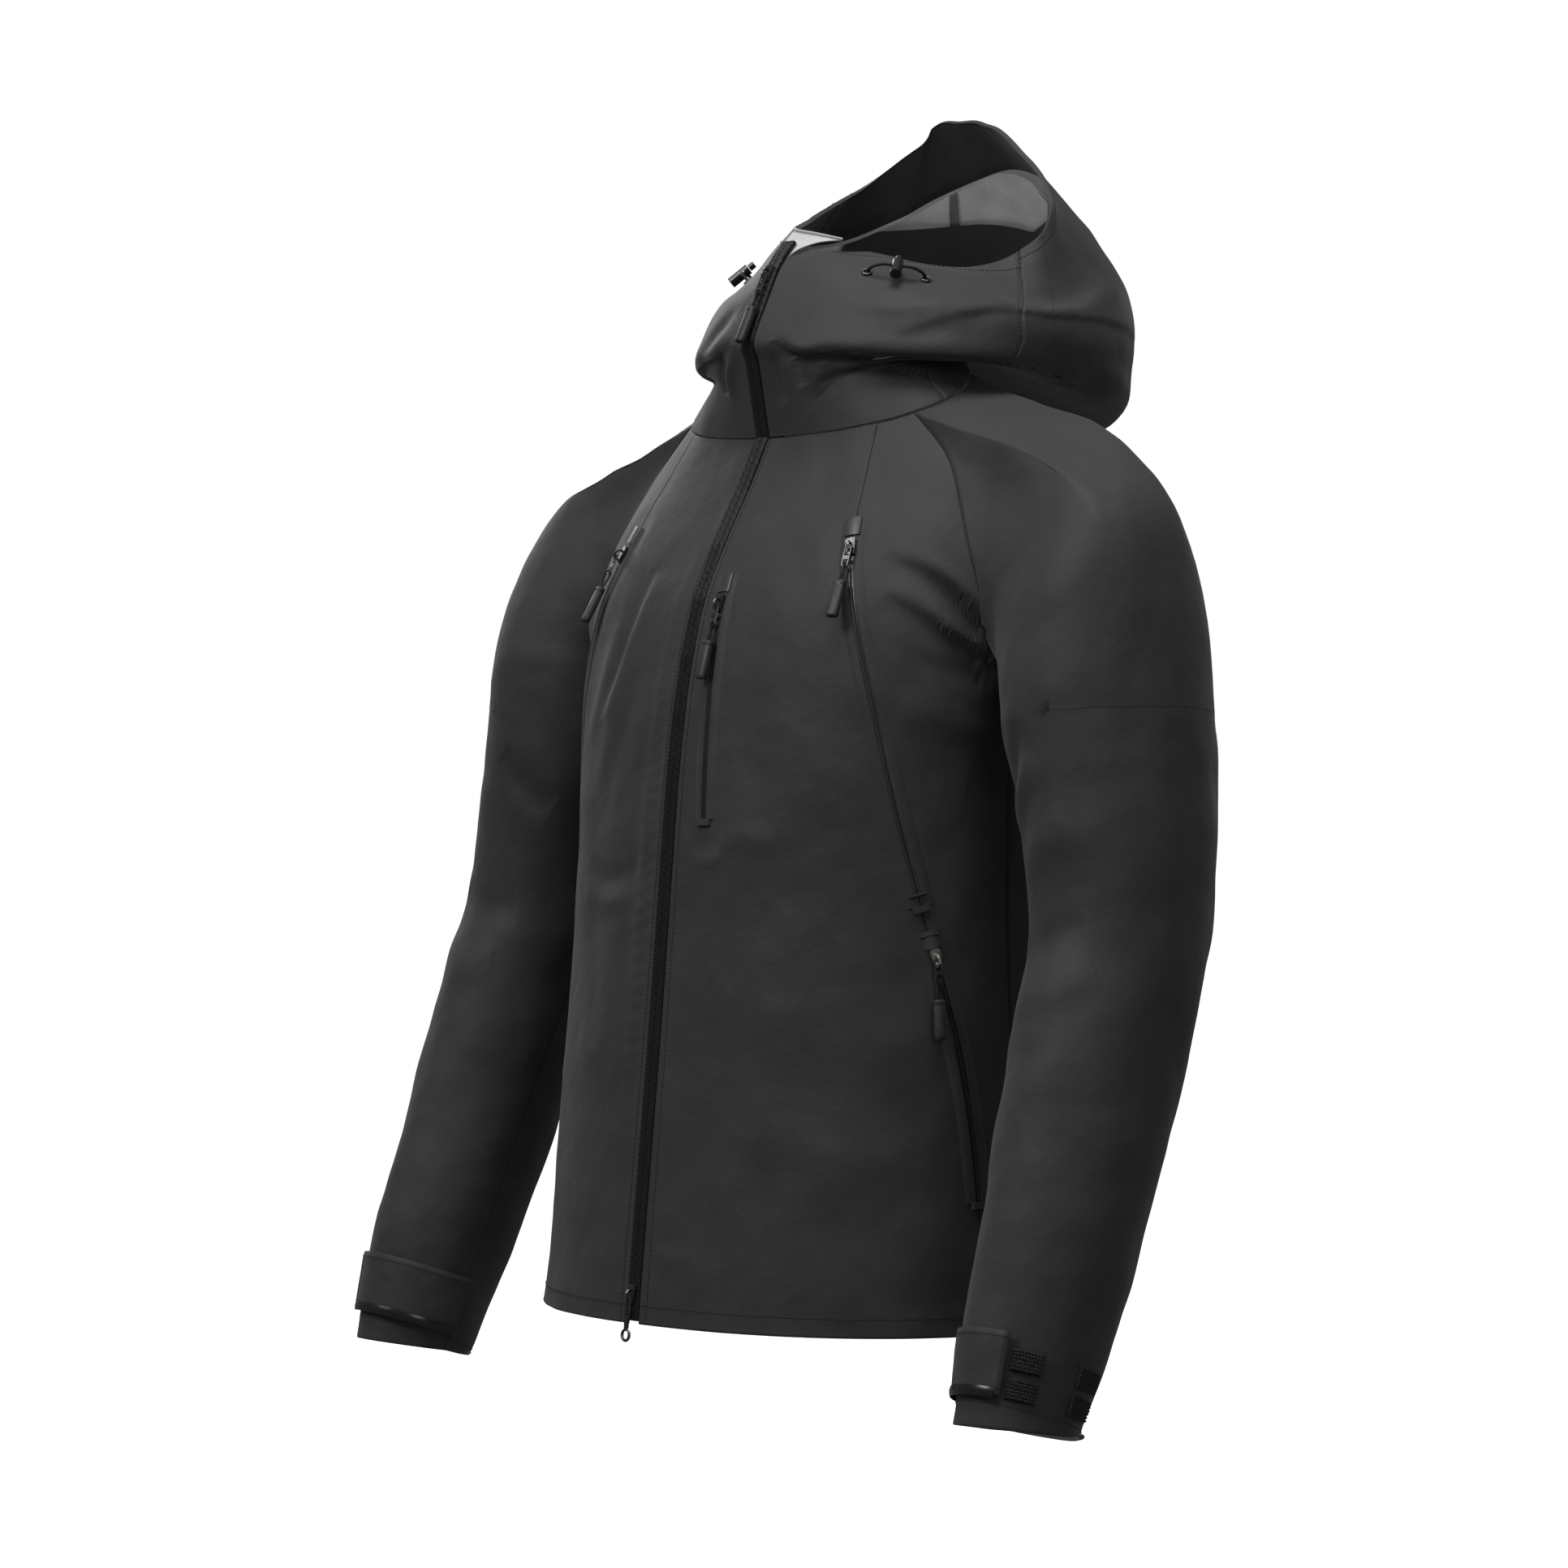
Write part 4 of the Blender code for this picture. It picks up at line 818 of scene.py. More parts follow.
# ---------------------------------------------------------------- folds of the cloth
# where, places along the fold, height in mm, width in mm, shape, how it grows
# torso places are azimuth and height; hood places are azimuth and ring; arm places are angle and height
FOLD_LIST = [
    ("torso", 1, [(-29, .508), (-21, .497), (-15, .482), (-8, .458)], 6.2, 11, "tuck", "end"),
    ("torso", 1, [(-29, .482), (-22, .470), (-16, .455), (-8, .440)], 5.6, 10, "tuck", "end"),
    ("torso", 1, [(-26, .540), (-18, .520), (-12, .500), (-6, .470)], 3.0, 13, "ridge", "end"),
    ("torso", 1, [(-24, .440), (-16, .432), (-8, .424)], 3.5, 8, "valley", "end"),
    ("torso", 1, [(-30, .410), (-18, .402), (-6, .392), (8, .388)], 2.2, 12, "ridge", "both"),
    ("torso", 1, [(-10, .360), (4, .350), (20, .352)], 2.4, 14, "valley", "both"),
    ("torso", 1, [(-60, .548), (-46, .515), (-38, .470)], 1.4, 16, "ridge", "both"),
    ("torso", 1, [(-70, .318), (-60, .322), (-50, .316)], 1.2, 8, "ridge", "both"),
    ("torso", 1, [(-80, .322), (-74, .318), (-69, .321)], 1.3, 4.5, "valley", "both"),
    ("torso", 1, [(-79, .312), (-73, .306), (-67, .309)], 0.9, 4.5, "ridge", "both"),
    ("torso", 1, [(-58, .130), (-40, .115), (-22, .122)], 1.6, 22, "ridge", "both"),
    ("torso", 1, [(-66, .235), (-46, .212), (-26, .226)], 1.3, 24, "ridge", "both"),
    ("torso", 1, [(-84, .052), (-78, .045), (-70, .050)], 1.0, 7, "ridge", "both"),
    ("torso", 1, [(-97.5, .540), (-97.5, .300), (-96.5, .060)], 0.9, 4.0, "valley", "both"),
    ("torso", 1, [(-101, .520), (-101.5, .320), (-100, .090)], 0.8, 4.5, "ridge", "both"),
    ("torso", 1, [(-106, .470), (-107, .330), (-105, .200)], 0.8, 6.0, "valley", "both"),
    ("torso", 1, [(-120, .500), (-125, .440), (-131, .398)], 3.0, 14, "tuck", "both"),
    ("torso", 1, [(-128, .470), (-134, .420), (-140, .380)], 2.6, 12, "ridge", "both"),
    ("torso", 1, [(-112, .440), (-118, .395), (-126, .345)], 1.8, 13, "valley", "both"),
    ("torso", 1, [(-148, .500), (-158, .470), (-172, .445)], 5.0, 10, "tuck", "end"),
    ("torso", 1, [(-146, .470), (-156, .445), (-170, .428)], 4.0, 9, "valley", "end"),
    ("torso", 1, [(-132, .300), (-118, .292), (-104, .302)], 1.6, 7, "valley", "both"),
    ("torso", 1, [(-134, .285), (-118, .276), (-103, .283)], 1.3, 7, "ridge", "both"),
    ("torso", 1, [(-136, .215), (-120, .180), (-106, .150)], 1.6, 16, "ridge", "both"),
    ("torso", 1, [(130, .560), (112, .470), (104, .380)], 2.4, 22, "ridge", "both"),
    ("torso", 1, [(52, .560), (70, .470), (78, .380)], 2.4, 22, "ridge", "both"),
    ("torso", 1, [(60, .300), (90, .286), (122, .302)], 2.0, 18, "valley", "both"),
    ("torso", 1, [(150, .465), (166, .450), (178, .436)], 4.0, 12, "tuck", "end"),
    ("torso", 1, [(30, .465), (14, .450), (2, .436)], 4.0, 12, "valley", "end"),
    ("torso", 1, [(66, .150), (92, .140), (116, .152)], 1.6, 26, "ridge", "both"),
    ("hood", 1, [(15, 2.35), (34, 2.30), (51, 2.20), (67, 2.20), (84, 2.10), (118, 1.95)],
     5.6, 10, "tuck", "both"),
    ("hood", 1, [(16, 2.20), (30, 2.10), (48, 2.00), (66, 2.00)], 3.0, 4.5, "crease", "both"),
    ("hood", 1, [(9.5, 2.95), (15, 2.35), (21, 1.75), (29, 1.15)], 4.2, 5.0, "valley", "both"),
    ("hood", 1, [(13, 3.00), (22, 2.45), (32, 1.75)], 2.6, 5.0, "ridge", "both"),
    ("hood", 1, [(8, 2.20), (13, 1.50), (20, 0.80)], 2.8, 4.5, "valley", "both"),
    ("hood", 1, [(30, 1.90), (34, 1.30), (42, 0.80)], 2.0, 6.0, "ridge", "both"),
    ("hood", 1, [(46, 3.05), (56, 3.40), (67, 3.78), (80, 4.20)], 1.2, 10, "tuck", "both"),
    ("hood", 1, [(62, 3.70), (80, 3.95), (100, 3.85), (124, 3.55), (145, 3.30)], 0.9, 7, "tuck", "both"),
    ("hood", 1, [(26, 3.95), (44, 3.75), (60, 3.95)], 1.4, 6, "ridge", "both"),
    ("hood", 1, [(352, 3.00), (344, 2.30), (336, 1.60), (330, 1.00)], 3.6, 5.5, "valley", "both"),
    ("hood", 1, [(350, 2.30), (341, 1.50), (333, 0.90)], 2.4, 5.0, "ridge", "both"),
    ("hood", 1, [(347, 3.90), (338, 3.20), (328, 2.60)], 2.4, 7.0, "valley", "both"),
    ("hood", 1, [(344, 2.35), (326, 2.30), (309, 2.20), (293, 2.20), (276, 2.10), (256, 1.95)],
     -4.0, 10, "tuck", "both"),
    ("hood", 1, [(110, 2.70), (140, 2.40), (175, 2.35)], 2.6, 12, "ridge", "both"),
    ("hood", 1, [(185, 2.60), (220, 2.40), (250, 2.60)], 2.6, 12, "ridge", "both"),
    ("hood", 1, [(150, 4.40), (180, 4.15), (214, 4.35)], 2.0, 12, "valley", "both"),
    ("hood", 1, [(120, 5.00), (150, 4.80), (180, 4.90)], 1.2, 10, "ridge", "both"),
    ("arm", 1, [(96, .395), (112, .372), (135, .356)], 3.4, 9, "valley", "both"),
    ("arm", 1, [(92, .372), (108, .350), (130, .334)], 3.0, 9, "ridge", "both"),
    ("arm", 1, [(70, .330), (95, .312), (125, .300)], 2.2, 14, "ridge", "both"),
    ("arm", 1, [(60, .252), (92, .238), (122, .246)], 3.0, 13, "valley", "both"),
    ("arm", 1, [(48, .222), (84, .204), (120, .212)], 2.4, 13, "ridge", "both"),
    ("arm", 1, [(66, .180), (96, .168), (126, .178)], 1.8, 12, "valley", "both"),
    ("arm", 1, [(-60, .205), (-92, .190), (-124, .200)], 2.4, 16, "ridge", "both"),
    ("arm", 1, [(10, .150), (2, .080), (14, .020)], 1.8, 20, "ridge", "both"),
    ("arm", -1, [(92, .372), (112, .352), (135, .340)], 3.4, 10, "valley", "both"),
    ("arm", -1, [(60, .262), (92, .248), (122, .256)], 3.0, 14, "valley", "both"),
    ("arm", -1, [(40, .225), (84, .205), (120, .212)], 2.4, 13, "ridge", "both"),
    ("arm", -1, [(-60, .205), (-92, .190), (-124, .200)], 2.4, 16, "ridge", "both"),
    ("arm", -1, [(100, .140), (80, .080), (70, .030)], 1.8, 16, "ridge", "both")]

SHAPES = {
    "ridge": lambda a: np.exp(-a * a),
    "valley": lambda a: -np.exp(-a * a),
    "crease": lambda a: -np.exp(-np.abs(a) * 1.4),
    "tuck": lambda a: np.tanh(3.0 * a) * np.exp(-0.65 * a * a)}


def hood_at(psi, u):
    return hood_rings([u], lambda k: np.array([psi]))[0, 0]


def on_form(where, side, places, n=44):
    """A line through the listed places of the torso, hood or arm."""
    t = np.linspace(0, 1, len(places))
    s = np.linspace(0, 1, n)
    a = smooth(t, [q[0] for q in places], s)
    b = smooth(t, [q[1] for q in places], s)
    if where == "torso":
        return torso(np.radians(a), b)
    if where == "hood":
        return np.array([hood_at(radians(x), y) for x, y in zip(a, b)])
    return np.array([arm_ring(y, np.array([radians(x)]))[0][0] for x, y in zip(a, b)]) * [side, 1, 1]


FOLDS = [(on_form(w, s, q), h * 1e-3, d * 1e-3, k, g) for w, s, q, h, d, k, g in FOLD_LIST]


def fold_height(p, n):
    """How far the folds lift each point of the cloth."""
    out = np.zeros(len(p))
    for line, height, width, shape, grow in FOLDS:
        reach = 3.2 * width
        near = np.where(((p > line.min(0) - reach) & (p < line.max(0) + reach)).all(1))[0]
        if not len(near):
            continue
        d = p[near][:, None] - line[None]
        far = np.sqrt((d**2).sum(2))
        k = far.argmin(1)
        pick = np.arange(len(near))
        t = unit(np.gradient(line, axis=0))[k]
        across = np.sign((np.cross(n[near], t) * d[pick, k]).sum(1)) * far[pick, k]
        s = k / (len(line) - 1)
        if grow == "end":
            w = s**0.8 * np.clip((1.08 - s) * 8, 0, 1)
        else:
            w = np.sin(pi * s)**0.6
        out[near] += height * w * SHAPES[shape](across / width)
    return out


def ripple(p, size, shift):
    """Slow random waves of the cloth, size metres across."""
    s = Vector((shift, 1.7 * shift, -0.6 * shift))
    return np.array([noise.noise(Vector(q) / size + s) for q in p.tolist()])


def zip_lines():
    """Lines that have to stay calm because hardware lies on them."""
    lines = [front_line()]
    z = np.linspace(0.325, 0.500, 30)
    lines.append(np.array([torso(np.array(chest_azimuth(v)), np.array(v)) for v in z]))
    for lo, hi in ((0.275, 0.530), (0.070, 0.265)):
        z = np.linspace(lo, hi, 40)
        a = np.array([torso(pocket_azimuth(v), np.array(v)) for v in z])
        lines += [a, a * [-1, 1, 1]]
    for sign in (1, -1):
        q = [hood_at(sign * (CORD_AT[0] + w * CORD_SPAN), CORD_AT[1]) for w in np.linspace(-1.2, 1.2, 12)]
        lines.append(np.array(q))
    return lines


CALM = np.concatenate([resample(q, 60) for q in zip_lines()])


def calm(p):
    """0 beside the zips and cords, rising to 1 away from them."""
    out = np.ones(len(p))
    for i in range(0, len(p), 4000):
        q = p[i:i + 4000]
        d = np.sqrt(((q[:, None] - CALM[None])**2).sum(2)).min(1)
        t = np.clip((d - 0.007) / 0.016, 0, 1)
        out[i:i + 4000] = t * t * (3 - 2 * t)
    return out


def relief(p, n, amount=1.0):
    wide = 0.0022 * ripple(p, 0.105, 3.1) + 0.0012 * ripple(p, 0.044, 7.7) + 0.00035 * ripple(p, 0.017, 1.3)
    slanted = p * [1, 1, 0.45] + 0.3 * p[:, 2:] * [1, 0, 0]
    wide += 0.0011 * ripple(slanted, 0.030, 12.4)
    return calm(p) * (fold_height(p, n) + amount * wide)


# ---------------------------------------------------------------- sheets of cloth
EDGES = {
    "seam": ((0, -0.00110), (0.0009, -0.00035), (0.0024, 0.00005)),
    "roll": ((0, -0.00070), (0.0008, 0.00035), (0.0026, 0.00030)),
    "hem": ((0, -0.00045), (0.0008, 0.00010), (0.0026, 0.00010))}
GRIDS = {}


def turned(g, side):
    if side in (2, 3):
        g = np.swapaxes(g, 0, 1)
    if side in (1, 3):
        g = g[::-1]
    return g


def unturned(g, side):
    if side in (1, 3):
        g = g[::-1]
    if side in (2, 3):
        g = np.swapaxes(g, 0, 1)
    return g


def edged(g, edges):
    """Add close rows along the marked edges; gives the grid and how far each point is raised."""
    rise = np.zeros(g.shape[:2])
    for side, kind in enumerate(edges):
        if not kind:
            continue
        g, rise = turned(g, side), turned(rise, side)
        step = np.linalg.norm(g[1] - g[0], axis=-1, keepdims=True)
        rows, ups = [], []
        for (d, h), most in zip(EDGES[kind], (0.0, 0.30, 0.62)):
            rows.append(g[0] + (g[1] - g[0]) * np.minimum(d / np.maximum(step, 1e-6), most))
            ups.append(rise[0] + h)
        g = np.concatenate([np.array(rows), g[1:]])
        rise = np.concatenate([np.array(ups), rise[1:]])
        g, rise = unturned(g, side), unturned(rise, side)
    return g, rise


def torso_normal(g):
    out = np.zeros_like(g)
    for c in range(3):
        e = np.zeros(3)
        e[c] = 2e-4
        out[..., c] = level(g + e) - level(g - e)
    return unit(out)


def skin(top, low):
    """Closed sheet between two grids: corners, faces, and which side each face is on."""
    r, c = top.shape[:2]
    o = r * c
    k = np.arange(o).reshape(r, c)
    up = np.stack([k[:-1, :-1], k[:-1, 1:], k[1:, 1:], k[:-1, :-1], k[1:, 1:], k[1:, :-1]], -1).reshape(-1, 3)
    rim = np.concatenate([k[0, :], k[1:, -1], k[-1, -2::-1], k[-2:0:-1, 0]])
    nxt = np.roll(rim, -1)
    side = np.stack([nxt, rim, rim + o, nxt + o], -1)
    f = up.tolist() + (up[:, ::-1] + o).tolist() + side.tolist()
    which = np.r_[np.zeros(len(up), int), np.ones(len(up), int), np.zeros(len(side), int)]
    return np.concatenate([top.reshape(-1, 3), low.reshape(-1, 3)]), f, which


def lengths(g):
    """Distance along the rows and columns of a grid, for cloth coordinates in metres."""
    across = np.linalg.norm(np.diff(g, axis=1), axis=2)
    down = np.linalg.norm(np.diff(g, axis=0), axis=2)
    u = np.concatenate([np.zeros((g.shape[0], 1)), np.cumsum(across, 1)], 1)
    v = np.concatenate([np.zeros((1, g.shape[1])), np.cumsum(down, 0)], 0)
    return np.stack([u - u.mean(1, keepdims=True), v], -1).reshape(-1, 2)


def put(name, v, f, body, mats, stands_for=(), uv=None, which=None, sharp=50.0):
    """One finished piece in the row frame, riding on its body."""
    me = bpy.data.meshes.new(name)
    me.from_pydata((np.asarray(v, float) - np.array(HANGER)).tolist(), [], [list(map(int, q)) for q in f])
    for m in mats:
        me.materials.append(m)
    if which is not None:
        me.polygons.foreach_set("material_index", np.asarray(which, np.int32))
    if uv is not None:
        at = np.zeros(len(me.loops), np.int32)
        me.loops.foreach_get("vertex_index", at)
        me.uv_layers.new(name="UVMap").data.foreach_set("uv", np.asarray(uv, np.float32)[at].ravel())
    me.shade_smooth()
    me.set_sharp_from_angle(angle=radians(sharp))
    ob = bpy.data.objects.new(name, me)
    bpy.context.scene.collection.objects.link(ob)
    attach(ob, body)
    if stands_for:
        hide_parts(*stands_for)
    return ob


def put_sheet(name, top, low, body, mats, stands_for=(), which=None, sharp=50.0):
    v, f, w = skin(top, low)
    uv = lengths(top)
    which = w if which is None else which
    return put(name, v, f, body, mats, stands_for, np.concatenate([uv, uv]), which, sharp)


def declare(g):
    """Measure a sheet's longest row and column, and its area; nothing is kept or returned."""
    cut = g[1:, :-1] - g[:-1, 1:]
    d = np.linalg.norm(np.cross(g[1:, 1:] - g[:-1, :-1], cut), axis=2) / 2
    across = float(np.linalg.norm(np.diff(g, axis=1), axis=2).sum(1).max())
    down = float(np.linalg.norm(np.diff(g, axis=0), axis=2).sum(0).max())
    across = min(across, float(d.sum()) / (0.4 * down))


def cloth_sheet(name, g, edges, mats, stands_for, thick=0.0010, normal=None, amount=1.0, which=None):
    """A panel of the jacket: folds, seam edges and both faces."""
    g, rise = edged(g, edges)
    n = grid_normals(g) if normal is None else normal(g)
    h = relief(g.reshape(-1, 3), n.reshape(-1, 3), amount).reshape(g.shape[:2])
    h = h + rise
    top = g + n * h[..., None]
    GRIDS[name] = top
    low = top - n * (thick if np.isscalar(thick) else thick(g)[..., None])
    ob = put_sheet(name, top, low, "shell", mats, stands_for,
                   None if which is None else which(top))
    declare(g)
    return ob


def mirrored(g):
    return g[:, ::-1] * [-1, 1, 1]


def swapped(edges):
    return edges[0], edges[1], edges[3], edges[2]


# ---------------------------------------------------------------- stitches
STITCH = 0.0030                     # pitch of the rows of lock stitches
THREAD_RADIUS = 0.00024
THREAD_RISE = 0.0002                # how far the thread stands on the cloth
THREAD_SHARE = 0.72                 # share of the pitch that the thread covers


def stitches(name, line, out, paint, body="shell", pitch=STITCH):
    """A row of lock stitches along a line on the cloth."""
    d = np.r_[0, np.cumsum(np.linalg.norm(np.diff(line, axis=0), axis=1))]
    at = np.arange(pitch / 2, d[-1], pitch)
    p = np.stack([np.interp(at, d, line[:, c]) for c in range(3)], -1)
    t = unit(np.stack([np.interp(at + 1e-4, d, line[:, c]) - np.interp(at - 1e-4, d, line[:, c])
                       for c in range(3)], -1))
    n = unit(np.stack([np.interp(at, d, out[:, c]) for c in range(3)], -1))
    s = np.cross(n, t)
    v, f = [], []
    half = pitch * THREAD_SHARE / 2
    r = THREAD_RADIUS
    for x, w, up in ((-half, 0.35, -0.9), (-half * 0.6, 1.0, 0.6),
                     (half * 0.6, 1.0, 0.6), (half, 0.35, -0.9)):
        for k in range(5):
            a = 2 * pi * k / 5
            height = r * w * np.sin(a) + THREAD_RISE + r * up * 0.6
            v.append(p + t * x + s * r * w * np.cos(a) + n * height)
    v = np.stack(v, 1)
    one = []
    for r in range(3):
        for k in range(5):
            a, b = r * 5 + k, r * 5 + (k + 1) % 5
            one.append((a, b, b + 5, a + 5))
    caps = [tuple(range(4, -1, -1)), tuple(range(15, 20))]
    for i in range(len(p)):
        f += [tuple(q + 20 * i for q in x) for x in one + caps]
    return put(name, v.reshape(-1, 3), f, body, [paint], sharp=70)


def along_grid(name, row=None, col=None):
    """A row or column of a finished panel, with the way out of the cloth."""
    g = GRIDS[name]
    n = grid_normals(g)
    return (g[row], n[row]) if col is None else (g[:, col], n[:, col])


# ---------------------------------------------------------------- body panels
LOWER = 92
UPPER = 98
ACROSS = 60
TOP_STRANDS = 16


def build_body():
    n = (LOWER, UPPER)
    front = front_panel(*n, ACROSS)
    side = side_panel(*n, 42)
    for name, g, e in (("front_panel", front, ("hem", "seam", "roll", "seam")),
                       ("side_panel", side, ("hem", "seam", "seam", "seam"))):
        cloth_sheet(name + "_left_cloth", g, e, [SHELL, LINING], [name + "_left"], normal=torso_normal)
        cloth_sheet(name + "_right_cloth", mirrored(g), swapped(e), [SHELL, LINING], [name + "_right"],
                    normal=torso_normal)
    cloth_sheet("back_panel_cloth", back_panel(*n, 60), ("hem", "seam", "seam", "seam"), [SHELL, LINING],
                ["back_panel"], normal=torso_normal)


def sleeve_normal(g):
    """Out of the sleeve, turning into the body's own direction at the raglan seam."""
    n = grid_normals(g)
    t = torso_normal(g)
    k = np.clip(np.arange(g.shape[0]) / 9.0, 0, 1)[:, None, None]
    return unit(t * (1 - k) + n * k)


def build_sleeves():
    g = sleeve(40, 104, UPPER, TOP_STRANDS)
    pit = TOP_STRANDS - TOP_STRANDS // 2 + UPPER
    a, b = pit, pit + int(round(UPPER * 4 / 7))
    under = g[:, a:b + 1]
    outer = np.concatenate([g[:, b:], g[:, :a + 1]], 1)
    for name, part in (("sleeve_outer", outer), ("sleeve_under", under)):
        e = ("seam", "hem", "seam", "seam")
        cloth_sheet(name + "_left_cloth", part, e, [SHELL, LINING], [name + "_left"],
                    normal=sleeve_normal, amount=1.3)
        cloth_sheet(name + "_right_cloth", mirrored(part), e, [SHELL, LINING], [name + "_right"],
                    normal=sleeve_normal, amount=1.3)


# ---------------------------------------------------------------- hood
SIDE_SEAM = radians(82)
BRIM_RING = 5.25
RING_COUNT = 97


def spread(u, sign):
    """The front edges part above the top slider, the near one more than the far one."""
    t = np.clip((u - 4.95) / 1.05, 0, 1)
    return radians(19 if sign > 0 else 2.5) * t**1.4


def folded_edge(g):
    """The rim is a folded casing, thicker than the single cloth."""
    r = g.shape[0]
    k = np.arange(r)[:, None] / (r - 1.0)
    t = np.clip((k - 0.93) / 0.05, 0, 1)
    return 0.0010 + 0.0018 * t + 0 * g[..., 0]


def inner_faces(first_dark):
    def which(top):
        r, c = top.shape[:2]
        w = np.zeros(((r - 1) * (c - 1) * 4 + 2 * (r + c - 2)), int)
        low = np.ones((r - 1, c - 1), int)
        # inner faces from the share first_dark on take the third material, the darker shell copy that paints
        # shade under the brim
        low[int(r * first_dark):] = 2
        w[2 * (r - 1) * (c - 1):4 * (r - 1) * (c - 1)] = np.repeat(low.ravel(), 2)
        return w
    return which


def build_hood():
    us = np.linspace(0, 6, RING_COUNT)

    def part(start, stop, n):
        g = hood_rings(us, lambda u: np.linspace(start(u), stop(u), n))
        g[0, :, 2] -= 0.0012
        return g

    # the inside of the brim takes the darker shell copy, painted shade
    dark = inner_faces(BRIM_RING / 6)
    mats = [SHELL, LINING, SHADED_SHELL]
    left = part(lambda u: front_gap(u) + spread(u, 1), lambda u: SIDE_SEAM, 46)
    right = part(lambda u: 2 * pi - SIDE_SEAM, lambda u: 2 * pi - front_gap(u) - spread(u, -1), 46)
    cloth_sheet("hood_cheek_left_cloth", left, ("", "hem", "roll", "seam"), mats, ["hood_cheek_left"],
                thick=folded_edge, which=dark)
    cloth_sheet("hood_cheek_right_cloth", right, ("", "hem", "seam", "roll"), mats, ["hood_cheek_right"],
                thick=folded_edge, which=dark)
    centre = part(lambda u: SIDE_SEAM, lambda u: 2 * pi - SIDE_SEAM, 150)
    psi = np.degrees(np.linspace(SIDE_SEAM, 2 * pi - SIDE_SEAM, 150))[None]
    rise = np.clip((psi - 118) / 30, 0, 1) * np.clip((240 - psi) / 12, 0, 1)
    rise = rise * rise * (3 - 2 * rise) * np.clip((us[:, None] - 5.0) / 1.0, 0, 1)**1.5
    centre = centre + np.stack([-0.004 * rise, -0.002 * rise, 0.0036 * rise], -1)
    cloth_sheet("hood_centre_cloth", centre, ("", "hem", "seam", "seam"), mats, ["hood_centre", "hood_brim"],
                thick=folded_edge, which=dark)


def toward_middle(g):
    middle = np.array([0, HOOD[3][2], 0])
    return unit((g - middle) * [1, 1, 0])


def build_hood_inside():
    psis = np.radians(np.linspace(20, 340, 150))
    g = hood_rings(np.linspace(2.4, 5.32, 50), lambda u: psis)
    out = toward_middle(g)
    flat = g.reshape(-1, 3)
    wave = 0.0030 * ripple(flat, 0.045, 5.5) + 0.0012 * ripple(flat, 0.018, 9.1)
    g = g - out * (0.0095 + wave.reshape(g.shape[:2])[..., None])
    lining = put_sheet("hood_lining_cloth", g, g - out * 0.0006, "shell", [LINING, LINING],
                       ["hood_lining"])
    declare(g)
    for k, psi in enumerate((215, 145)):
        i = np.argmin(np.abs(np.degrees(psis) - psi))
        strip = g[:, i - 1:i + 2] - out[:, i - 1:i + 2] * 0.0011
        put_sheet("hood_seam_tape_%d" % (k + 1), strip, strip - out[:, i - 1:i + 2] * 0.0003, "shell",
                  [SEAM_TAPE, SEAM_TAPE])
    # a dark sheet laid over the lining at the lower back of the hood's inside; its colour is the darker shell
    # copy, painted shade
    us = np.linspace(0, 1, 26)
    wide = np.radians(np.linspace(96, 264, 90))
    top = 4.62 + 0.70 * np.clip(np.abs(np.degrees(wide) - 180) / 70, 0, 1)
    keys = np.arange(len(HOOD))
    rings = np.array([hood_key(k, wide) for k in keys])
    rows = []
    for w in us:
        u = 2.6 + (top - 2.6) * w
        rows.append([[along(rings[:, j, c:c + 1], u[j])[0] for c in range(3)] for j in range(len(wide))])
    g = np.array(rows)
    out = toward_middle(g)
    wave = 0.0022 * ripple(g.reshape(-1, 3), 0.040, 2.2).reshape(g.shape[:2])
    g = g - out * (0.0145 + wave)[..., None]
    put_sheet("hood_inside_dark_sheet", g, g - out * 0.0010, "shell", [SHADED_SHELL, SHADED_SHELL])


def build_chin_guard():
    """Brushed flap inside the top of the front closure, with a piped edge."""
    us = np.linspace(4.70, 6.0, 26)
    g = hood_rings(us, lambda u: np.radians(np.linspace(-2.6 - 4.5 * (6 - u), 0.6 + 12 * (u / 6)**14, 24)))
    g = g + [0, 0.0016, 0]
    lift = np.clip((us - 5.2) / 0.8, 0, 1)[:, None] * 0.0035
    g[..., 2] += lift
    n = grid_normals(g)
    g = g + n * (0.0007 * ripple(g.reshape(-1, 3), 0.016, 4.4).reshape(g.shape[:2]))[..., None]
    guard = put_sheet("chin_guard_cloth", g, g - n * 0.0010, "shell", [LINING, LINING],
                      ["chin_guard"])
    declare(g)
    v, f = tube(g[-1] + [0, 0, 0.0004], 0.0011, 8, side=(0, 0, 1))
    put("chin_guard_piping", v, f, "shell", [PIPING])


# ---------------------------------------------------------------- zips
def ribbon(name, line, side, out, profile, depth, body, mats, stands_for=(), extra=None, sharp=50):
    """A strip along a line with a cross-section given as (across, height)."""
    prof = np.array(profile, float)
    top = line[:, None] + side[:, None] * prof[None, :, :1] + out[:, None] * prof[None, :, 1:]
    if extra is not None:
        top = top + out[:, None] * extra(np.r_[0, np.cumsum(np.linalg.norm(np.diff(line, axis=0), axis=1))],
                                         prof[:, 0])[..., None]
    low = line[:, None] + side[:, None] * prof[None, :, :1] - out[:, None] * depth
    return put_sheet(name, top, low, body, mats, stands_for, sharp=sharp)


def twill(s, x):
    """Slanted ribs of the tape over the coil."""
    w = np.sin(2 * pi * (s[:, None] - 1.25 * x[None]) / 0.0027)
    return 0.00042 * np.clip(w + 0.25, 0, 1.25)


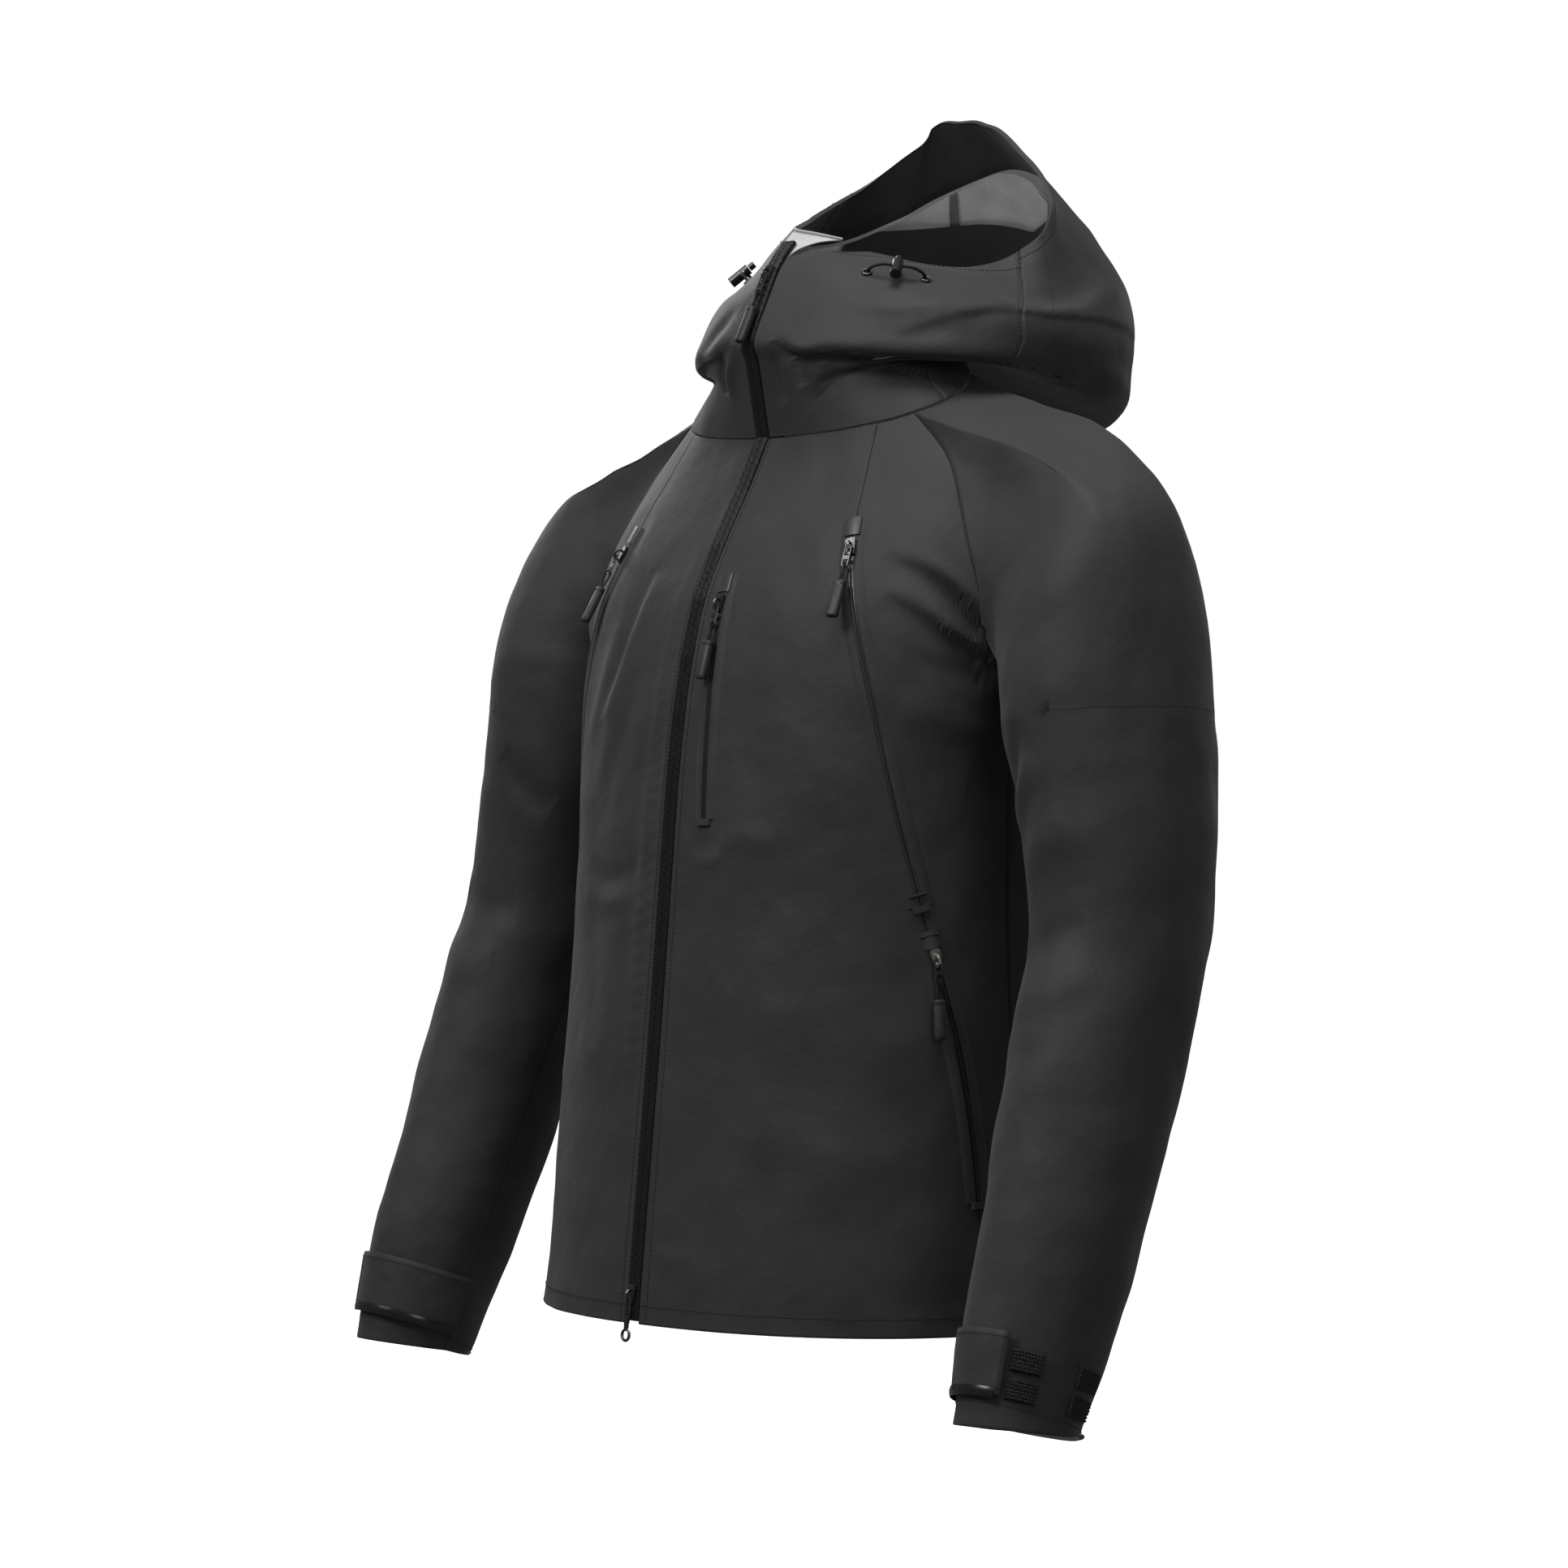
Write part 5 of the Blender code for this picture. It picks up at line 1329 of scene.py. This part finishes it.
def build_front_zip():
    line = resample(front_line(), 1250)
    t = unit(np.gradient(line, axis=0))
    out = np.stack([0 * t[:, 0], -t[:, 2], t[:, 1]], -1)
    out = out * -np.sign(out[:, 1:2])
    side = np.tile([1.0, 0, 0], (len(line), 1))
    for sign, name in ((1, "main_zip_left"), (-1, "main_zip_right")):
        x = np.linspace(0.00018, ZIP_EDGE + 0.0006, 11)
        crown = 0.0012 + 0.0003 * np.sin(pi * (x - x[0]) / (x[-1] - x[0]))
        prof = [(q, c) for q, c in zip(x, crown)]
        if sign < 0:
            prof = [(-q, c) for q, c in prof][::-1]
        ribbon(name + "_tape", line, side, out, prof, 0.0010, "shell", [COIL, COIL], [name], twill, 70)
    flap = front_line()[:21]
    g = resample(flap, 130)
    t = unit(np.gradient(g, axis=0))
    out = np.stack([0 * t[:, 0], -t[:, 2], t[:, 1]], -1)
    out = out * -np.sign(out[:, 1:2])
    x = np.linspace(-0.016, 0.016, 15)
    top = g[:, None] + np.array([1.0, 0, 0]) * x[None, :, None] - out[:, None] * 0.0045
    wave = 0.0004 * ripple(top.reshape(-1, 3), 0.012, 6.6).reshape(top.shape[:2])
    top = top + out[:, None] * wave[..., None]
    flap = put_sheet("storm_flap_cloth", top, top - out[:, None] * 0.0010, "shell", [SHELL, LINING],
                     ["storm_flap"])
    declare(top)


def cloth_line(z0, z1, azimuth_of, n):
    """Points, side and outward directions of a line along the cloth, from low to high."""
    z = np.linspace(z0, z1, n)
    p, c = [], []
    for v in z:
        a, b = cloth(azimuth_of(v), v)
        p.append(a)
        c.append(b)
    p, c = np.array(p), np.array(c)
    t = unit(np.gradient(p, axis=0))
    return p, unit(np.cross(t, c)), c


# cross-sections in mm: across from the middle, and height above the cloth
HALF_FILM = [(0.35, 1.5), (0.9, 1.60), (1.7, 1.55), (2.6, 1.2), (3.4, 1.15), (4.2, 1.0)]
FILM = [(-x, h) for x, h in reversed(HALF_FILM)] + [(0, 1.05)] + HALF_FILM
WELT = [(2.1, 0.9), (2.15, 1.15), (2.5, 1.25), (3.3, 1.25), (4.6, 1.2), (6.4, 0.9), (8.2, 0.3), (9.6, -0.4)]


def build_pocket_zip(cad, z0, z1, azimuth_of, flip, paint):
    """Film over the coil, welts beside it, and the tabs at its two ends."""
    p, side, out = cloth_line(z0, z1, azimuth_of, 110)
    m = np.array([-1, 1, 1]) if flip else np.array([1, 1, 1])
    p, out = p * m, out * m
    side = side * m * (-1 if flip else 1)
    mm = [(a * 1e-3, b * 1e-3) for a, b in FILM]
    ribbon(cad + "_film", p, side, out, mm, 0.0004, "shell", [paint, COIL], [cad])
    for s in (1, -1):
        prof = [(s * a * 1e-3, b * 1e-3) for a, b in WELT]
        if s < 0:
            prof = prof[::-1]
        tag = "a" if s > 0 else "b"
        ribbon("%s_welt_%s" % (cad, tag), p, side, out, prof, 0.0012, "shell", [SHELL, SHELL])
    # a laminated tab covers the upper end, and a cloth one the lower end
    for tag, k0, length, rise in (("garage", -1, 0.0125, 2.7), ("stop", 0, 0.0040, 2.4)):
        k = np.argmin(np.abs(np.linalg.norm(p - p[k0], axis=1) - length))
        seg = p[k:] if k0 < 0 else p[:k + 1]
        sd = side[k:] if k0 < 0 else side[:k + 1]
        ot = out[k:] if k0 < 0 else out[:k + 1]
        if tag == "stop":
            # the lower tab begins where the tape ends, out of the slider's way
            seg = seg[:1] + unit(p[0] - p[3]) * np.linspace(length, -0.0004, 12)[:, None]
            sd, ot = np.repeat(sd[:1], 12, 0), np.repeat(ot[:1], 12, 0)
        else:
            seg, sd, ot = resample(seg, 12), resample(sd, 12), resample(ot, 12)
        x = np.linspace(-6.0, 6.0, 15) * 1e-3
        h = (1.9 + (rise - 1.9) * np.cos(np.linspace(-pi / 2, pi / 2, 15))**0.8) * 1e-3
        h[0] = h[-1] = 0.0009
        ribbon("%s_%s" % (cad, tag), seg, sd, ot, list(zip(x, h)), -0.0001, "shell",
               [GARAGE if tag == "garage" else SHELL] * 2, sharp=60)
    return p, side, out


def bartack(name, centre, side, out, wide=0.0115):
    """A bar of close satin stitches."""
    strands = []
    up = np.cross(out, side)
    n = 26
    for i in range(n):
        x = (i / (n - 1) - 0.5) * wide
        path = []
        for w in (-1, -0.5, 0, 0.5, 1):
            path.append(centre + side * x + up * w * 0.0011 + out * (0.0021 + 0.0006 * (1 - abs(w))))
        strands.append((tube(path, 0.00026, 5, side=tuple(side)), 0))
    v, f, _ = merged(strands)
    return put(name, v, f, "shell", [THREAD], sharp=70)


def build_pockets():
    def seam(z):
        return float(pocket_azimuth(z))

    build_pocket_zip("chest_zip", 0.333, 0.4945, chest_azimuth, False, TAPE)
    for flip, side_name in ((False, "left"), (True, "right")):
        up = build_pocket_zip("upper_zip_" + side_name, 0.278, 0.530, seam, flip, RIBBED)
        lo = build_pocket_zip("lower_zip_" + side_name, 0.086, 0.262, seam, flip, TAPE)
        for k, (q, i) in enumerate(((up, 3), (lo, -3))):
            bartack("bartack_%s_%d" % (side_name, k + 1), q[0][i], q[1][i], q[2][i])
    bags = [("chest_bag", (0.310, 0.490, -42, -78), False)]
    for flip, side_name in ((False, "left"), (True, "right")):
        bags.append(("upper_bag_" + side_name, (0.290, 0.500, -16, -36), flip))
        bags.append(("lower_bag_" + side_name, (0.030, 0.250, -12, -58), flip))
    for name, (z0, z1, a0, a1), flip in bags:
        z = np.linspace(z0, z1, 40)
        g = np.array([torso(np.radians(np.linspace(a1, a0, 34)), np.full(34, v)) for v in z])
        if flip:
            g = mirrored(g)
        n = torso_normal(g)
        w = np.sin(pi * np.linspace(0, 1, 40))[:, None]**0.5 * np.sin(pi * np.linspace(0, 1, 34))[None]**0.5
        puff = 0.0009 * w + 0.0009 * w * ripple(g.reshape(-1, 3), 0.03, 8.8).reshape(g.shape[:2])
        sunk = relief(g.reshape(-1, 3), n.reshape(-1, 3)).reshape(g.shape[:2])
        sunk = np.minimum(sunk, 0)
        top = g - n * (0.0066 - puff - sunk)[..., None]
        low = g - n * (0.0072 + puff - sunk)[..., None]
        bag = put_sheet(name + "_cloth", top, low, "shell", [BAG, BAG], [name])
        declare(g)


# ---------------------------------------------------------------- grips, cuffs, cords
def lozenge(wide, thick, power, n):
    w = np.linspace(0, 2 * pi, n + 1)[:-1]
    c, s = np.cos(w), np.sin(w)
    return np.stack([wide * np.sign(c) * np.abs(c)**power, thick * np.sign(s) * np.abs(s)**power], -1)


def lathe_grip(rows):
    """Stacked lozenge rings from (along, width, thickness)."""
    n = 28
    v = np.concatenate([np.c_[lozenge(w, t, 0.72, n)[:, 0], np.full(n, y), lozenge(w, t, 0.72, n)[:, 1]]
                        for y, w, t in rows])
    f = []
    for r in range(len(rows) - 1):
        for k in range(n):
            a, b = r * n + k, r * n + (k + 1) % n
            f.append((a, a + n, b + n, b))
    f.append(tuple(range(n)))
    f.append(tuple(range((len(rows) - 1) * n + n - 1, (len(rows) - 1) * n - 1, -1)))
    return v, f


def merged(parts):
    v, f, w, o = [], [], [], 0
    for (a, b), k in parts:
        v.append(np.array(a, float))
        f += [tuple(int(i) + o for i in q) for q in b]
        w += [k] * len(b)
        o += len(a)
    return np.concatenate(v), f, w


def build_grip(label, track, share, flip):
    """Two strands of cord through the eye of the pull, and the moulded grip on their ends."""
    fr = hanging(track.frame(share, 0.0014))
    eye = eye_point(fr)
    top = -CORD_LONG
    rows = [(top + 0.0002, 0.0022, 0.0014), (top, 0.0036, 0.0023), (top - 0.0004, 0.0041, 0.0027),
            (top - 0.0012, 0.0042, 0.0028), (top - 0.0030, 0.00405, 0.0027), (top - 0.0034, 0.0039, 0.0026),
            (top - 0.0038, 0.00405, 0.0027), (top - GRIP_LONG + 0.0030, 0.0041, 0.0028),
            (top - GRIP_LONG + 0.0008, 0.0042, 0.0028), (top - GRIP_LONG + 0.0002, 0.0038, 0.0025),
            (top - GRIP_LONG, 0.0030, 0.0019), (top - GRIP_LONG + 0.0006, 0.0026, 0.0015)]
    strands = []
    for s in (1, -1):
        path = [(s * 0.0012, top - 0.0020, 0.0003), (s * 0.0014, top + 0.0015, 0.0004),
                (s * 0.0013, -0.0050, 0.0010), (s * 0.0008, -0.0020, 0.0015), (s * 0.0003, 0.0002, 0.0017),
                (0.0, 0.0014, 0.0010 * s if s < 0 else 0.0010)]
        strands.append(path)
    loop = strands[0][:5] + [(0.0, 0.0016, 0.0012)] + [(0.0, 0.0019, 0.0)] + [(0.0, 0.0013, -0.0012)]
    loop += [(-0.0003, -0.0010, -0.0014), (-0.0010, -0.0040, -0.0010), (-0.0013, top + 0.0015, -0.0002),
             (-0.0012, top - 0.0020, 0.0)]
    loop = np.array(loop)
    t = np.linspace(0, 1, len(loop))
    s = np.linspace(0, 1, 40)
    loop = np.stack([smooth(t, loop[:, c], s) for c in range(3)], -1)
    fr = (eye,) + fr[1:]
    v, f, w = merged([(place(lathe_grip(rows), fr), 0), (place(tube(loop, 0.00075, 8), fr), 1)])
    if flip:
        v = v * [-1, 1, 1]
        f = [tuple(reversed(q)) for q in f]
    body = label + "_grip"
    put(body + "_moulded", v, f, body, [GRIP, CORD], [body], which=w, sharp=42)


def arm_patch(z0, z1, a0, a1, nz, na, lift):
    th = np.radians(np.linspace(a0, a1, na))
    rows = []
    for h in np.linspace(z0, z1, nz):
        p, d = arm_ring(h, th)
        c = arm_frame(h)[0]
        out = unit(p - c - d * ((p - c) @ d)[:, None])
        up = lift if np.isscalar(lift) else 0.0
        rows.append((p + out * up, out))
    return np.array([r[0] for r in rows]), np.array([r[1] for r in rows])


def build_cuffs():
    for flip, side in ((False, "left"), (True, "right")):
        m = np.array([-1, 1, 1]) if flip else np.array([1, 1, 1])

        def both(g, o):
            return (mirrored(g), o[:, ::-1] * m) if flip else (g, o)

        body = "cuff_tab_" + side
        g, out = both(*arm_patch(-0.031, 0.006, 182, 58, 22, 70, 0.0030))
        r, c = g.shape[:2]
        edge_r = np.minimum(np.arange(r), np.arange(r)[::-1])[:, None] / 2.0
        edge_c = np.minimum(np.arange(c), np.arange(c)[::-1])[None] / 2.0
        round_off = np.clip(np.minimum(edge_r, edge_c), 0, 1)
        free = np.arange(c)[None] if flip else np.arange(c)[::-1][None]
        cap = np.clip(1 - np.abs(free - 2.0) / 2.2, 0, 1) * 0.0010
        wave = 0.0003 * ripple(g.reshape(-1, 3), 0.012, 3.3).reshape(r, c)
        h = 0.0007 * np.sin(round_off * pi / 2) + cap + wave
        top = g + out * h[..., None]
        # the tab's underside takes the darker shell copy, painted shade
        tab = put_sheet(body + "_cloth", top, g - out * 0.0012, body, [SHELL, SHADED_SHELL], [body])
        declare(g)
        for k, (line, o) in enumerate(((top[2], out[2]), (top[-3], out[-3]))):
            stitches("cuff_tab_%s_stitch_%d" % (side, k), line, o, THREAD, body, 0.0026)
        s, so = both(*arm_patch(-0.0335, -0.0275, 180, 62, 5, 60, 0.0044))
        lip = np.sin(np.linspace(0, pi, 5))[:, None] * 0.0006
        put_sheet("cuff_strip_" + side, s + so * lip[..., None], s - so * 0.0006, body, [STRIP, STRIP])
        for k, (z0, z1, a0, a1) in enumerate(((-0.0155, -0.0025, 54, 28), (-0.0325, -0.0200, 54, 28),
                                              (-0.0155, -0.0025, -4, -32), (-0.0325, -0.0200, -4, -32))):
            q, qo = both(*arm_patch(z0, z1, a0, a1, 27, 45, 0.0003))
            i, j = np.meshgrid(np.arange(27), np.arange(45), indexing="ij")
            nub = np.abs(np.sin(pi * i / 4.4)) * np.abs(np.sin(pi * j / 4.0))
            rough = 0.0005 * ripple(q.reshape(-1, 3), 0.0011, 2.0 + k).reshape(q.shape[:2])
            rim = np.clip(np.minimum(np.minimum(i, 26 - i), np.minimum(j, 44 - j)) / 1.5, 0, 1)
            top_q = q + qo * ((0.0008 + 0.0009 * nub + rough) * rim)[..., None]
            put_sheet("loop_patch_%s_%d" % (side, k + 1), top_q, q - qo * 0.0010, "shell", [PILE, PILE],
                      sharp=80)


def eyelet(name, centre, out):
    """A rolled metal eyelet set in the cloth."""
    a = unit(np.cross(out, [0.3, 0.2, 1.0]))
    b = np.cross(out, a)
    w = np.linspace(0, 2 * pi, 29)[:-1]
    ring = centre + np.cos(w)[:, None] * a * 0.0029 + np.sin(w)[:, None] * b * 0.0029 + out * 0.0004
    v, f = tube(ring, 0.00085, 8, closed=True, side=tuple(out))
    return put(name, v, f, "shell", [GUNMETAL])


def build_cheek_cords():
    for sign, side in ((1, "left"), (-1, "right")):
        psi, u = CORD_AT
        a, na = cheek(sign * (psi - CORD_SPAN), u, 0.0016)
        m, nm = cheek(sign * psi, u, 0.0016)
        b, nb = cheek(sign * (psi + CORD_SPAN), u, 0.0016)
        if sign < 0:
            inside = np.array([0, 0.05, 0.69])
            na, nm, nb = [v * -np.sign(v @ (inside - q)) for v, q in ((na, a), (nm, m), (nb, b))]
        run = unit(b - a)
        nm = unit(nm - run * np.dot(nm, run))
        c = m + nm * 0.0062
        key = np.array([a - na * 0.0006, a + na * 0.0035 + run * 0.003, c - run * 0.010, c, c + run * 0.010,
                        b + nb * 0.0035 - run * 0.003, b - nb * 0.0006])
        t = np.linspace(0, 1, len(key))
        s = np.linspace(0, 1, 33)
        path = np.stack([smooth(t, key[:, k], s) for k in range(3)], -1)
        v, f = tube(path, 0.0011, 10, side=tuple(nm))
        node = "cheek_cord_" + side
        cord = put(node + "_braid", v, f, "shell", [CORD], [node])
        eyelet("eyelet_%s_front" % side, a - na * 0.0012, na)
        eyelet("eyelet_%s_back" % side, b - nb * 0.0012, nb)


def build_stitches():
    """Rows of stitches where the photographed jacket's edges and hood seams carry them."""
    for side in ("left", "right"):
        zip_col = 4 if side == "left" else -5
        line, out = along_grid("front_panel_%s_cloth" % side, col=zip_col)
        stitches("front_edge_stitch_" + side, line, out, THREAD)
        for name in ("front_panel", "side_panel"):
            line, out = along_grid("%s_%s_cloth" % (name, side), row=6)
            stitches("%s_hem_stitch_%s" % (name, side), line, out, THREAD)
        for name in ("sleeve_outer", "sleeve_under"):
            line, out = along_grid("%s_%s_cloth" % (name, side), row=-5)
            stitches("%s_cuff_stitch_%s" % (name, side), line, out, THREAD)
        line, out = along_grid("hood_cheek_%s_cloth" % side, row=-9)
        stitches("cheek_rim_stitch_" + side, line, out, THREAD)
        line, out = along_grid("hood_cheek_%s_cloth" % side, col=-4 if side == "left" else 3)
        stitches("cheek_seam_stitch_" + side, line, out, PALE_THREAD)
        line, out = along_grid("hood_centre_cloth", col=10 if side == "left" else -11)
        stitches("hood_seam_stitch_" + side, line, out, PALE_THREAD)
    line, out = along_grid("back_panel_cloth", row=6)
    stitches("back_hem_stitch", line, out, THREAD)
    line, out = along_grid("hood_centre_cloth", row=-6)
    stitches("brim_stitch", line, out, THREAD)


def build_hardware_finish():
    for name, ob in NODES.items():
        if name.endswith(("_slider", "_pull")):
            ob.data.materials[0] = SILVER if name in ("lower_left_slider", "lower_right_slider") else GUNMETAL
        elif name.startswith(("cord_lock", "cord_button")):
            ob.data.materials[0] = LOCK
        elif name == "hanger_loop":
            ob.data.materials[0] = CORD


# ---------------------------------------------------------------- floor, light and camera
def area_light(name, at, size, power, toward=(0, 0, -0.3), tall=None):
    d = bpy.data.lights.new(name, "AREA")
    d.shape = "RECTANGLE"
    d.size = size
    d.size_y = tall or size
    d.energy = power
    ob = bpy.data.objects.new(name, d)
    ob.location = at
    ob.rotation_euler = (Vector(toward) - Vector(at)).to_track_quat("-Z", "Y").to_euler()
    bpy.context.scene.collection.objects.link(ob)
    return ob


def build_stage():
    me = bpy.data.meshes.new("floor")
    s, z = 30.0, -1.05
    me.from_pydata([(-s, -s, z), (s, -s, z), (s, s, z), (-s, s, z)], [], [(0, 1, 2, 3)])
    p = Paint("floor_paper", (0.9, 0.9, 0.9), 0.9)
    p.colour(p.noise(3, 2), [(0.3, grey(0.88)), (0.7, grey(0.92))])
    p.b.inputs["Emission Color"].default_value = (1, 1, 1, 1)
    p.b.inputs["Emission Strength"].default_value = 1.0
    me.materials.append(p.m)
    ob = bpy.data.objects.new("floor", me)
    bpy.context.scene.collection.objects.link(ob)
    ob.visible_diffuse = False
    ob.visible_glossy = False
    ob.visible_shadow = False


def build_world(ambient, shown):
    w = bpy.data.worlds.new("studio")
    bpy.context.scene.world = w
    w.use_nodes = True
    t = w.node_tree
    back = t.nodes["Background"]
    back.inputs["Color"].default_value = (1, 1, 1, 1)
    back.inputs["Strength"].default_value = ambient
    seen = t.nodes.new("ShaderNodeBackground")
    seen.inputs["Color"].default_value = (1, 1, 1, 1)
    seen.inputs["Strength"].default_value = shown
    path = t.nodes.new("ShaderNodeLightPath")
    mix = t.nodes.new("ShaderNodeMixShader")
    t.links.new(path.outputs["Is Camera Ray"], mix.inputs["Fac"])
    t.links.new(back.outputs[0], mix.inputs[1])
    t.links.new(seen.outputs[0], mix.inputs[2])
    t.links.new(mix.outputs[0], t.nodes["World Output"].inputs["Surface"])


def build_camera():
    cam = bpy.data.cameras.new("camera")
    cam.lens = 128.7
    cam.sensor_width = 36.0
    cam.clip_end = 100
    ob = bpy.data.objects.new("camera", cam)
    ob.location = (2.8948, -2.5258, -0.2640)
    sight = Vector((-0.0161, -0.0832, -0.3090)) - ob.location
    ob.rotation_euler = sight.to_track_quat("-Z", "Y").to_euler()
    bpy.context.scene.collection.objects.link(ob)
    bpy.context.scene.camera = ob


build_camera()
build_cheek_cords()
build_body()
build_sleeves()
build_hood()
build_hood_inside()
build_chin_guard()
build_front_zip()
build_pockets()
TRACKS = tracks()
for label, key, flip in (("chest", "chest", False),
                         ("upper_left", "upper", False), ("upper_right", "upper", True),
                         ("lower_left", "lower", False), ("lower_right", "lower", True),
                         ("main_top", "top", False)):
    build_grip(label, TRACKS[key], 0.02, flip)
build_cuffs()
build_stitches()
build_hardware_finish()
build_stage()
build_world(0.115, 1.0)
area_light("key", (-0.4, -3.2, 2.4), 1.3, 58)
area_light("top", (0.5, -0.4, 2.9), 1.5, 48)
area_light("side", (3.6, -1.6, 1.0), 1.2, 10)
area_light("rim", (-2.8, 0.8, 1.2), 1.2, 22)
bpy.context.scene.view_settings.view_transform = "Standard"
